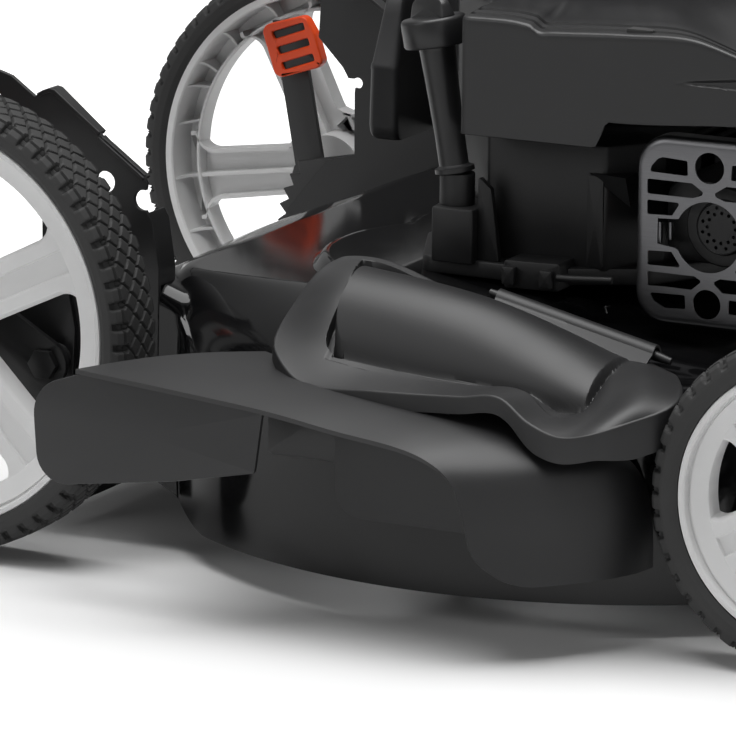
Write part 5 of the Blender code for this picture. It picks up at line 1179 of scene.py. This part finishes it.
def make_crankcase():
    """Sump, case, filler tower, boss, lug, studs, ribs and ears as one casting, each an outline between two levels."""
    sump = rounded([(-0.100, 0.240), (0.085, 0.236), (0.145, 0.262), (0.145, 0.340), (0.115, 0.395), (0.06, 0.425),
                    (-0.06, 0.425), (-0.100, 0.395)], 0.010, 4)
    case = rounded([(-0.092, 0.250), (0.085, 0.250), (0.1295, 0.297), (0.1295, 0.372), (0.095, 0.395), (-0.092, 0.395)],
                   0.005, 4)
    tower = rounded([(0.100, 0.2640), (0.150, 0.2700), (0.150, 0.2965), (0.100, 0.296)], 0.002, 3)
    lug = rounded([(0.3175, 0.1705), (0.3530, 0.1715), (0.3530, 0.1880), (0.3175, 0.1870)], 0.0015, 3)
    rib = rounded([(0.2965, 0.1835), (0.3105, 0.1835), (0.3048, 0.2262), (0.2965, 0.2330)], 0.0008, 3)
    ear = oblong(0.338, 0.358, 0.2600, 0.2693, 0.001, 2)
    tip = np.array([(0.1290, 0.3600, 0.2392), (0.1290, 0.3712, 0.2398), (0.1390, 0.3890, 0.2405),
                    (0.1180, 0.3890, 0.2405), (0.1290, 0.3880, 0.2215)])
    parts = [
        slab(sump, 0.1733, 0.1833), slab(case, 0.1813, 0.2560, 0.002), slab(tower, 0.1813, 0.2140, 0.0014),
        slab(ring((0.135, 0.2795), 0.0104, 40), 0.2080, 0.2330), plate(lug, 0.118, 0.150),
        *(plate(oblong(y - 0.004, y + 0.004, 0.1733, 0.184, 0.001), 0.146, 0.1545) for y in (0.322, 0.346)),
        plate(rib, 0.1380, 0.1425, 0.0004),
        plate(oblong(0.3610, 0.3712, 0.1840, 0.2380, 0.0010), 0.1250, 0.1305, 0.0004),
        (tip, np.array([(0, 2, 1, 1), (1, 2, 3, 3), (0, 4, 2, 2), (4, 3, 2, 2), (0, 1, 3, 4)])),
        *(plate(ear, near, far, 0.0006) for near, far in ((0.100, 0.1275), (-0.1622, -0.066))),
        plate(oblong(0.2228, 0.254, 0.2362, 0.2528, 0.001, 2), -0.064, -0.004, 0.0006),
    ]
    return piece("crankcase_casting", join(*parts), CAST, "mower", "crankcase", sharp=30)


crankcase = make_crankcase()
FILLER_FOOT, FILLER_HEAD = np.array([0.135, 0.278, 0.232]), np.array([0.135, 0.264, 0.312])
FILLER_RUN = FILLER_HEAD - FILLER_FOOT
WING_TURN, WING_BASE, WING_RISE = math.radians(62), 0.0112, 0.012


def make_filler():
    """Stops of (height share, radius) give the collar, the waist and the widening mouth."""
    stops = [(0.0, 0.0096), (0.010, 0.0100), (0.012, 0.0117), (0.045, 0.0117), (0.052, 0.0102), (0.065, 0.0088),
             (0.30, 0.0088), (0.70, 0.0098), (0.90, 0.0106), (0.985, 0.0118), (1.0, 0.0118)]
    share = np.array(sorted({round(s, 4) for s, _ in stops} | set(np.round(np.linspace(0, 1, 40), 4))))
    radii = np.interp(share, *zip(*stops))
    return piece("oil_filler_pipe", pipe(FILLER_FOOT + FILLER_RUN * share[:, None], radii), COVER_PLASTIC, "mower",
                 "oil_filler_tube", sharp=40)


def make_filler_cap():
    """A turned cap with a soft rim, and one wing: a rounded plate whose thickness tapers to its top edge."""
    up = FILLER_RUN / np.linalg.norm(FILLER_RUN)
    base = FILLER_HEAD + up * 0.0003
    side = np.array([1.0, 0, 0])
    front = np.cross(up, side)
    turns = around(64)[None, :, None]
    profile = [(0.0160, -0.0062), (0.0184, -0.0056), (0.0190, -0.0044), (0.0192, 0.0088), (0.0187, 0.0102),
               (0.0176, 0.0110), (0.0110, 0.0116), (0.0001, 0.0116)]
    radius, level = np.array(profile).T[:, :, None, None]
    cap = base + level * up + radius * (np.cos(turns) * side + np.sin(turns) * front)
    along = math.cos(WING_TURN) * side + math.sin(WING_TURN) * front
    across = np.cross(up, along)
    outline = rounded([(-0.0172, 0.0104), (0.0172, 0.0104), (0.0150, 0.0212), (0.0, 0.0240), (-0.0150, 0.0212)],
                      (0.001, 0.001, 0.006, 0.02, 0.006), 6)
    middle = outline.mean(0)
    rows = []
    for inset, level in ((0.0016, -1.0), (0.0004, -0.82), (0.0, -0.4), (0.0, 0.4), (0.0004, 0.82), (0.0016, 1.0)):
        flat = middle + (outline - middle) * (1 - inset / 0.012)
        thick = 0.0052 - 0.0028 * np.clip((flat[:, 1] - WING_BASE) / WING_RISE, 0, 1)
        rows.append(base + flat[:, :1] * along + flat[:, 1:] * up + (level * thick)[:, None] * across)
    shape = join(grid(cap, False, True, True), grid(np.array(rows), False, True, True))
    return piece("dipstick_cap_winged", shape, COVER_PLASTIC, body_of("dipstick_cap"), "dipstick_cap", sharp=38)


make_filler()
make_filler_cap()
breather = [(0.1500, 0.352, 0.1800), (0.1500, 0.360, 0.1802), (0.1460, 0.385, 0.1812)]
piece("breather_rod", pipe(breather, 0.0022, 16), CAST, "mower")
print("crankcase", len(crankcase.data.polygons), "faces")

# %% [markdown]
# The fuel tank is blow moulded in two depths, so its corners are soft and a seam runs round it. Each level
# is the same rounded outline, drawn in at the top and bottom. The air filter's cover is a shallow box with
# ribs across it, and the fuel cap is ribbed round its edge for grip.

# %% Tank, fuel cap and air filter cover
TANK_LOW, TANK_RISE = 0.2280, 0.0900
TANK_SIZES = [(0.0, 0.90), (0.02, 0.955), (0.05, 0.985), (0.10, 1.0), (0.47, 1.0), (0.485, 1.012), (0.515, 1.012),
              (0.53, 0.998), (0.86, 0.975), (0.93, 0.955), (0.975, 0.92), (1.0, 0.87)]
COVER_X, COVER_DEPTH, COVER_MID_Z, RIB_PITCH = -0.1653, 0.0308, 0.286, 0.0088


def make_tank():
    """Levels of one L-shaped outline: the rear wall leans forwards above the middle, and a seam bead stands out half
    way."""
    corners = [(-0.125, 0.172), (0.050, 0.177), (0.050, 0.196), (-0.004, 0.197), (-0.006, 0.225), (-0.125, 0.225)]
    outline = even(rounded(corners, (0.014, 0.004, 0.003, 0.004, 0.006, 0.014), 8), 220)
    middle = np.array([-0.045, 0.196])
    rows = []
    for share, size in TANK_SIZES:
        x, y = (middle + (outline - middle) * [1 - (1 - size) * 0.5, size]).T
        lean = 0.012 * smooth((share - 0.35) / 0.65) * np.clip((0.205 - y) / 0.037, 0, 1)
        rows.append(at_z(np.column_stack([x, y + lean]), TANK_LOW + TANK_RISE * share))
    return piece("fuel_tank_moulding", grid(np.array(rows), False, True, True), TANK_PLASTIC, "mower", "fuel_tank",
                 sharp=40)


def make_fuel_cap():
    """A turned cap whose side carries 36 ribs: the radius rises and falls with the turn."""
    turns = around(36 * 8)
    rib = 0.0005 * smooth((np.cos(36 * turns) + 0.3) / 0.6)
    radius, level, ribbed = np.array([
        (0.0212, 0.0003, 0), (0.0218, 0.0010, 1), (0.0222, 0.0120, 1), (0.0212, 0.0150, 1), (0.0196, 0.0172, 0),
        (0.0100, 0.0180, 0), (0.0001, 0.0180, 0)]).T[:, :, None]
    cap = turned(radius + rib * ribbed, TANK_LOW + TANK_RISE + level, (-0.070, 0.1965), turns)
    return piece("fuel_cap_ribbed", grid(cap, False, True, True), COVER_PLASTIC, body_of("fuel_cap"), "fuel_cap",
                 sharp=30)


def make_filter_cover():
    """A shallow dome over a rounded rectangle, with seven ribs: a cosine of the height, faded out near the edge."""
    outline = even(oblong(0.362, 0.468, 0.250, 0.322, 0.013, 8), 200)
    middle = outline.mean(0)
    rows = [at_x(COVER_X - depth, middle + (outline - middle) * size)
            for size, depth in ((1.0, 0.0), (1.0, 0.022), (0.994, 0.0262), (0.976, 0.0292), (0.945, 0.0305))]
    for size in np.linspace(0.92, 0.02, 44):
        flat = middle + (outline - middle) * size
        wave = np.cos((flat[:, 1] - COVER_MID_Z) / RIB_PITCH * 2 * math.pi)
        rib = 0.0011 * smooth(0.5 + 1.6 * wave) * smooth((0.86 - size) / 0.05)
        rows.append(at_x(COVER_X - COVER_DEPTH - 0.0020 * (1 - size ** 2) - rib, flat))
    return piece("air_filter_cover_moulding", grid(np.array(rows), False, True, True), COVER_PLASTIC, "mower",
                 "air_filter_cover", sharp=32)


make_tank()
make_fuel_cap()
make_filter_cover()
print("tank and covers made")

# %% [markdown]
# Each wheel has a lever with a toothed plate beside it. The lever's end carries a moulded paddle with three
# slots. The paddle is a stamping like the brackets, only thicker, and the lever's dark end fills its slots.

# %% Levers and grips
GRIP = np.array([(-0.0238, 0.0116), (0.0085, 0.0214), (0.0162, 0.0097), (0.0223, -0.0087), (0.0180, -0.0128),
                 (-0.0122, -0.0227)])
GRIP_TILT = math.radians(20.0)
SLOT_PITCH, SLOT_HALF, CORE_HALF, CORE_DEEP = 0.0106, (0.0118, 0.0024), (0.0135, 0.0145), 0.0018


def make_grip(tag, forward):
    """The paddle: its outline as photographed, and three slots and a core that lie square to its tilt."""
    node = f"lever_grip_{tag}"
    box = np.array(nodes[node].bound_box) - SHIFT
    near, far = box[:, 0].min(), box[:, 0].max()
    middle = box.mean(0)[1:] + (0.0035 * -forward, 0.0)
    mirror = np.array([-forward, 1.0])
    across = np.array([math.cos(GRIP_TILT), math.sin(GRIP_TILT)])
    rise = np.array([-across[1], across[0]])

    def square_on(heart, half):
        """A rounded rectangle square to the tilt, in the mower's (y, z)."""
        corners = [heart + across * half[0] * a + rise * half[1] * b for a, b in ((-1, -1), (1, -1), (1, 1), (-1, 1))]
        return middle + rounded(corners, 0.0010, 3) * mirror

    slots = [square_on(rise * step * SLOT_PITCH + across * 0.0005, SLOT_HALF) for step in (-1, 0, 1)]
    core = plate(square_on(0.0, CORE_HALF), near + CORE_DEEP, far - CORE_DEEP)
    piece(f"grip_core_{tag}", core, POWDER, body_of(node))
    outline = middle + rounded(GRIP, (0.006, 0.006, 0.008, 0.006, 0.006, 0.006), 6) * mirror
    return stamped(f"grip_paddle_{tag}", outline, slots, near, far, ORANGE_PLASTIC, body_of(node), node, soft=0.0012)


for tag, *_ in WHEELS:
    make_grip(tag, 1.0 if tag.startswith("front") else -1.0)
    softened(f"height_lever_{tag}", f"lever_arm_{tag}", POWDER, 0.0012)
    softened(f"selector_plate_{tag}", f"selector_{tag}", POWDER, 0.0006)
print("lever bodies", sorted({body_of(f"height_lever_{tag}") for tag, *_ in WHEELS}))

# %% [markdown]
# The handle's brackets are the same stampings, larger: a plate with a notched outline and one hole. Narrow
# strips folded inwards along its upper edges stiffen it, and they are ribbons carried across the plate.

# %% Handle brackets
degrees = lambda first, last: np.radians(np.linspace(first, last, 14))
BRACKET = np.vstack([
    [(0.118, 0.080), (0.119, 0.170), (0.1145, 0.1985), (0.1105, 0.2040)],
    arc((0.1085, 0.2108), 0.0062, degrees(-75, -285)),
    [(0.1106, 0.2190), (0.1108, 0.2212), (0.1093, 0.2245), (0.0817, 0.2439), (0.0790, 0.2490), (0.0486, 0.2716),
     (0.0446, 0.2720), (0.0350, 0.2662), (0.0194, 0.2770), (0.0119, 0.2792), (-0.004, 0.283), (-0.070, 0.334),
     (-0.092, 0.306), (-0.060, 0.2880), (0.0000, 0.2700), (0.0115, 0.2655), (0.0146, 0.2590), (0.0133, 0.2368),
     (0.0311, 0.2186), (0.0352, 0.2118)],
    arc((0.0420, 0.2092), 0.0036, degrees(130, -120)),
    [(0.0398, 0.2029), (0.040, 0.162), (0.020, 0.156), (-0.010, 0.120), (0.020, 0.080)],
])
BRACKET_HOLE = ring((0.0827, 0.2194), 0.0064, 28)
FLANGE = [(0.0364, 0.2680), (0.0406, 0.2704), (0.0446, 0.2720), (0.0486, 0.2716), (0.0640, 0.2602), (0.0795, 0.2487)]
LOW_FLANGE = np.array([(0.0790, 0.2462), (0.0817, 0.2439), (0.0950, 0.2346), (0.1093, 0.2245)])
FRONT_FOLD = [(0.1186, 0.1600), (0.1188, 0.1700), (0.1145, 0.1980), (0.1112, 0.2036)]


def make_bracket(name, side):
    """The plate with its notches and hole, a wide flange folded inwards on top, a narrow one before it with a ridge,
    and a fold in front. Each strip is (name, line, near, far, wall, last)."""
    node = f"handle_bracket_{name}"
    stamped(f"bracket_plate_{name}", BRACKET, [BRACKET_HOLE], side * 0.2020, side * 0.2050, POWDER, body_of(node), node)
    for strip, line, near, far, wall, last in (
            ("flange", FLANGE, 0.2056, 0.1905, 0.0026, 0.1975),
            ("low_flange", LOW_FLANGE, 0.2060, 0.1975, 0.0022, 0.1975),
            ("ridge", LOW_FLANGE + (0.0, 0.0012), 0.2040, 0.2018, 0.0020, 0.2018),
            ("front_fold", FRONT_FOLD, 0.2035, 0.1840, 0.0022, 0.1840)):
        ribbon(f"bracket_{strip}_{name}", line, side * near, side * far, wall, body_of(node), side * last)


for name, side in (("right", 1.0), ("left", -1.0)):
    make_bracket(name, side)
softened("front_apron", "apron_stamping", POWDER, 0.0010)
print("brackets made")

# %% [markdown]
# The handle is bent tube. Its parts lie in one sloping plane, so a path is drawn flat, across and along, and
# then laid on the slope. The grip is a sleeve of foam over the top bar, with soft ends.

# %% Handle
HANDLE_R, HANDLE_SLOPE, HANDLE_FOOT = 0.0125, math.radians(38.0), (0.0600, 0.2225)
LOWER_LENGTH, UPPER_LENGTH, OVERLAP = 0.5200, 0.6600, 0.0300
LOWER_X, BAR_BEND = 0.2017 - HANDLE_R, 0.060
UPPER_X = LOWER_X + 2 * HANDLE_R + 0.0003
HANDLE_NORMAL = (0.0, math.sin(HANDLE_SLOPE), math.cos(HANDLE_SLOPE))


def on_handle(flat):
    """Lays (across, along) points on the handle's slope."""
    flat = np.array(flat, float)
    slope = np.array([0.0, -math.cos(HANDLE_SLOPE), math.sin(HANDLE_SLOPE)])
    return np.column_stack([flat[:, 0], HANDLE_FOOT[0] + flat[:, 1] * slope[1], HANDLE_FOOT[1] + flat[:, 1] * slope[2]])


def tube(name, path, radius, node, aside, turns=32):
    """A tube with rolled ends along a path, standing for its node: two more rings near each end, and smaller radii."""
    path = np.array(path)
    first, last = path[1] - path[0], path[-1] - path[-2]
    first, last = first / np.linalg.norm(first), last / np.linalg.norm(last)
    roll = np.array([[0.0], [0.0008], [0.0020]])
    path = np.vstack([path[0] + first * roll, path[1:-1], path[-1] - last * roll[::-1]])
    radii = np.full(len(path), radius)
    radii[[0, -1]], radii[[1, -2]] = radius - 0.0016, radius - 0.0005
    return piece(name, pipe(path, radii, turns, aside), POWDER, body_of(node), node, sharp=40)


def open_bends(corners, radii, steps):
    """An open path with its inner corners rounded: the outline closes far below, and only the inner arcs are kept."""
    arcs = rounded([*corners, (0.0, -1.0)], (1e-4, *radii, 1e-4, 1e-4), steps)
    return np.vstack([corners[:1], arcs[steps + 1:(steps + 1) * (len(corners) - 1)], corners[-1:]])


fold = LOWER_LENGTH - OVERLAP
end = fold + UPPER_LENGTH
for name, side in (("right", 1.0), ("left", -1.0)):
    lower = on_handle([(side * LOWER_X, along) for along in (0.092, 0.30, LOWER_LENGTH)])
    tube(f"lower_tube_{name}", lower, HANDLE_R, f"lower_handle_{name}", HANDLE_NORMAL)
    softened(f"handle_knob_{name}", f"clamp_knob_{name}", COVER_PLASTIC, 0.0024, 3)
start = fold - OVERLAP
bar = open_bends([(UPPER_X, start), (UPPER_X, end), (-UPPER_X, end), (-UPPER_X, start)], (BAR_BEND, BAR_BEND), 16)
tube("upper_tube", on_handle(bar), HANDLE_R, "upper_handle", HANDLE_NORMAL)

sleeve = UPPER_X - BAR_BEND - 0.006
tips = np.array([0, 0.0006, 0.002, 0.005])
across = np.concatenate([tips - sleeve, np.linspace(0.012 - sleeve, sleeve - 0.012, 40), sleeve - tips[::-1]])
swell = 0.0162 + 0.0003 * np.cos(across / sleeve * math.pi / 2)
swell[[0, -1]], swell[[1, -2]], swell[[2, -3]] = 0.0136, 0.0150, 0.0159
foam = pipe(on_handle([(x, end) for x in across]), swell, 40, HANDLE_NORMAL)
foam = piece("foam_sleeve", foam, FOAM, body_of("foam_grip"), "foam_grip")

bail_slope = HANDLE_SLOPE + math.radians(45.0)
_, foot_y, foot_z = on_handle([(0.0, end - 0.100)])[0]
leg = UPPER_X - HANDLE_R - 0.0003
flat = open_bends([(leg, 0.0), (leg - 0.010, 0.0), (leg - 0.010, 0.100), (-leg + 0.010, 0.100), (-leg + 0.010, 0.0),
                   (-leg, 0.0)], (0.006, 0.020, 0.020, 0.006), 8)
route = np.column_stack([flat[:, 0], foot_y - flat[:, 1] * math.cos(bail_slope),
                         foot_z + flat[:, 1] * math.sin(bail_slope)])
tube("bail_rod", route, 0.0040, "stop_bail", (0.0, math.sin(bail_slope), math.cos(bail_slope)), 20)

# %% Small parts
for node, name, finish, width in (
        ("rear_door", "rear_door_moulding", DOOR_PLASTIC, 0.0008), ("rear_flap", "trailing_flap", RUBBER, 0.0006),
        ("blade", "blade_bar", POWDER, 0.0005), ("blade_adapter", "adapter_casting", CAST, 0.0008),
        ("plug_boot", "boot_moulding", RUBBER, 0.0012), ("blade_bolt", "bolt_head", ZINC, 0.0006)):
    softened(node, name, finish, width)
print("handle end", on_handle([(0.0, end)]).round(3).tolist())

# %% [markdown]
# The camera stands where the photographer's did: about 3.9 m off at the mower's right front, a little
# above it, with a long lens. Yaw, pitch and roll were solved from the outlines of three wheels.

# %% Camera
YAW, PITCH, ROLL = 0.46806, 0.2288, 0.00992
FOCAL_PIXELS, PHOTO_WIDTH, SENSOR_WIDTH = 6236.3, 736, 36.0
forward = Vector((-math.cos(YAW) * math.cos(PITCH), -math.sin(YAW) * math.cos(PITCH), -math.sin(PITCH)))
right = forward.cross(Vector((0, 0, 1))).normalized()
up = right.cross(forward)
across = math.cos(ROLL) * right + math.sin(ROLL) * up
upright = -math.sin(ROLL) * right + math.cos(ROLL) * up
lens = bpy.data.cameras.new("portrait_camera")
lens.sensor_fit = "HORIZONTAL"
lens.sensor_width = SENSOR_WIDTH
lens.lens = SENSOR_WIDTH * FOCAL_PIXELS / PHOTO_WIDTH
lens.clip_start, lens.clip_end = 0.1, 60.0
camera = bpy.data.objects.new("portrait_camera", lens)
turn = Matrix((across, upright, -forward)).transposed().to_4x4()
camera.matrix_world = Matrix.Translation(at(3.3491, 1.8469, 0.9472)) @ turn
bpy.context.scene.collection.objects.link(camera)
bpy.context.scene.camera = camera
print("lens", round(lens.lens, 1), "mm")

# %% [markdown]
# The floor is one pale sheet that the camera sees as white. Its colour is a light grey that catches the
# mower's shadow, and a little light of its own, seen only by the camera and in reflections, lifts it to white
# away from the mower without lighting the mower. The glow fades near the mower, which paints shade round it.

# %% Floor
FLOOR_LIFT, FLOOR_REACH, FLOOR_Z = 0.66, 14.0, -0.0006


def make_floor():
    """A pale matt floor, lifted to white for camera and glossy rays: lift = (camera + 0.3 glossy) x a rise away from
    the mower."""
    finish, tree, shader, where = base("pale_studio_floor", "#E9E9E9", 0.9)
    noise = add(tree, "TexNoise", {"Vector": where}, Scale=3.0)
    toned(tree, shader, noise.outputs["Fac"], ("#E8E8E8", "#EBEBEB"))
    rays = add(tree, "LightPath")
    seen = add(tree, "Math", {0: rays.outputs["Is Glossy Ray"], 2: rays.outputs["Is Camera Ray"]},
               operation="MULTIPLY_ADD")
    seen.inputs[1].default_value = 0.3
    # The glow is weaker near the mower: painted shade round it.
    away = add(tree, "VectorMath", {0: where}, operation="DISTANCE")
    away.inputs[1].default_value = (0.10, 0.30, 0.0)
    rise = add(tree, "MapRange", {"Value": away.outputs["Value"]}, interpolation_type="SMOOTHSTEP",
               From_Min=0.25, From_Max=1.15, To_Min=0.02, To_Max=FLOOR_LIFT)
    lift = add(tree, "Math", {0: seen.outputs["Value"], 1: rise.outputs["Result"]}, operation="MULTIPLY")
    shader.inputs["Emission Color"].default_value = (1, 1, 1, 1)
    shader.inputs["Specular IOR Level"].default_value = 0.1
    tree.links.new(lift.outputs["Value"], shader.inputs["Emission Strength"])
    mesh = bpy.data.meshes.new("studio_floor")
    corners = [(x * FLOOR_REACH, y * FLOOR_REACH, FLOOR_Z) for x, y in ((-1, -1), (1, -1), (1, 1), (-1, 1))]
    mesh.from_pydata(corners, [], [(0, 1, 2, 3)])
    mesh.materials.append(finish)
    floor = bpy.data.objects.new("studio_floor", mesh)
    bpy.context.scene.collection.objects.link(floor)


make_floor()
print("floor", 2 * FLOOR_REACH, "m wide")

# %% [markdown]
# The light is soft and comes mostly from above, as in a white tent: one wide panel overhead, a second one
# at the camera's left that models the wheels, a faint third at its right, and a dim world that fills the
# shadows. The world is white to the camera, grey in reflections and nearly dark to all other light.

# %% Lights and world
def make_panel(name, place, aim, size, watts):
    """A square area lamp at a place, turned to face a point."""
    lamp = bpy.data.lights.new(name, "AREA")
    lamp.shape = "SQUARE"
    lamp.size = size
    lamp.energy = watts
    panel = bpy.data.objects.new(name, lamp)
    panel.location = at(*place)
    panel.rotation_euler = (at(*aim) - at(*place)).to_track_quat("-Z", "Y").to_euler()
    bpy.context.scene.collection.objects.link(panel)


make_panel("overhead_panel", (0.2, 0.2, 3.0), (0.1, 0.3, 0.2), 2.6, 122.0)
make_panel("left_panel", (2.6, -1.6, 1.9), (0.1, 0.3, 0.2), 1.6, 15.0)
make_panel("right_panel", (2.0, 3.0, 1.4), (0.1, 0.4, 0.2), 1.4, 5.0)

world = bpy.data.worlds.new("white_tent")
world.use_nodes = True
sky = world.node_tree
backdrop = sky.nodes["Background"]
backdrop.inputs["Color"].default_value = (1, 1, 1, 1)
rays = add(sky, "LightPath")
seen = add(sky, "Math", operation="MAXIMUM")
sky.links.new(rays.outputs["Is Camera Ray"], seen.inputs[0])
sky.links.new(rays.outputs["Is Transmission Ray"], seen.inputs[1])
glossy = add(sky, "MapRange", {"Value": rays.outputs["Is Glossy Ray"]}, To_Min=0.05, To_Max=0.34)
level = add(sky, "Mix", {"Factor": seen.outputs["Value"], "A": glossy.outputs["Result"]}, data_type="FLOAT")
level.inputs["B"].default_value = 1.0
sky.links.new(level.outputs["Result"], backdrop.inputs["Strength"])
bpy.context.scene.world = world
bpy.context.scene.view_settings.view_transform = "Standard"
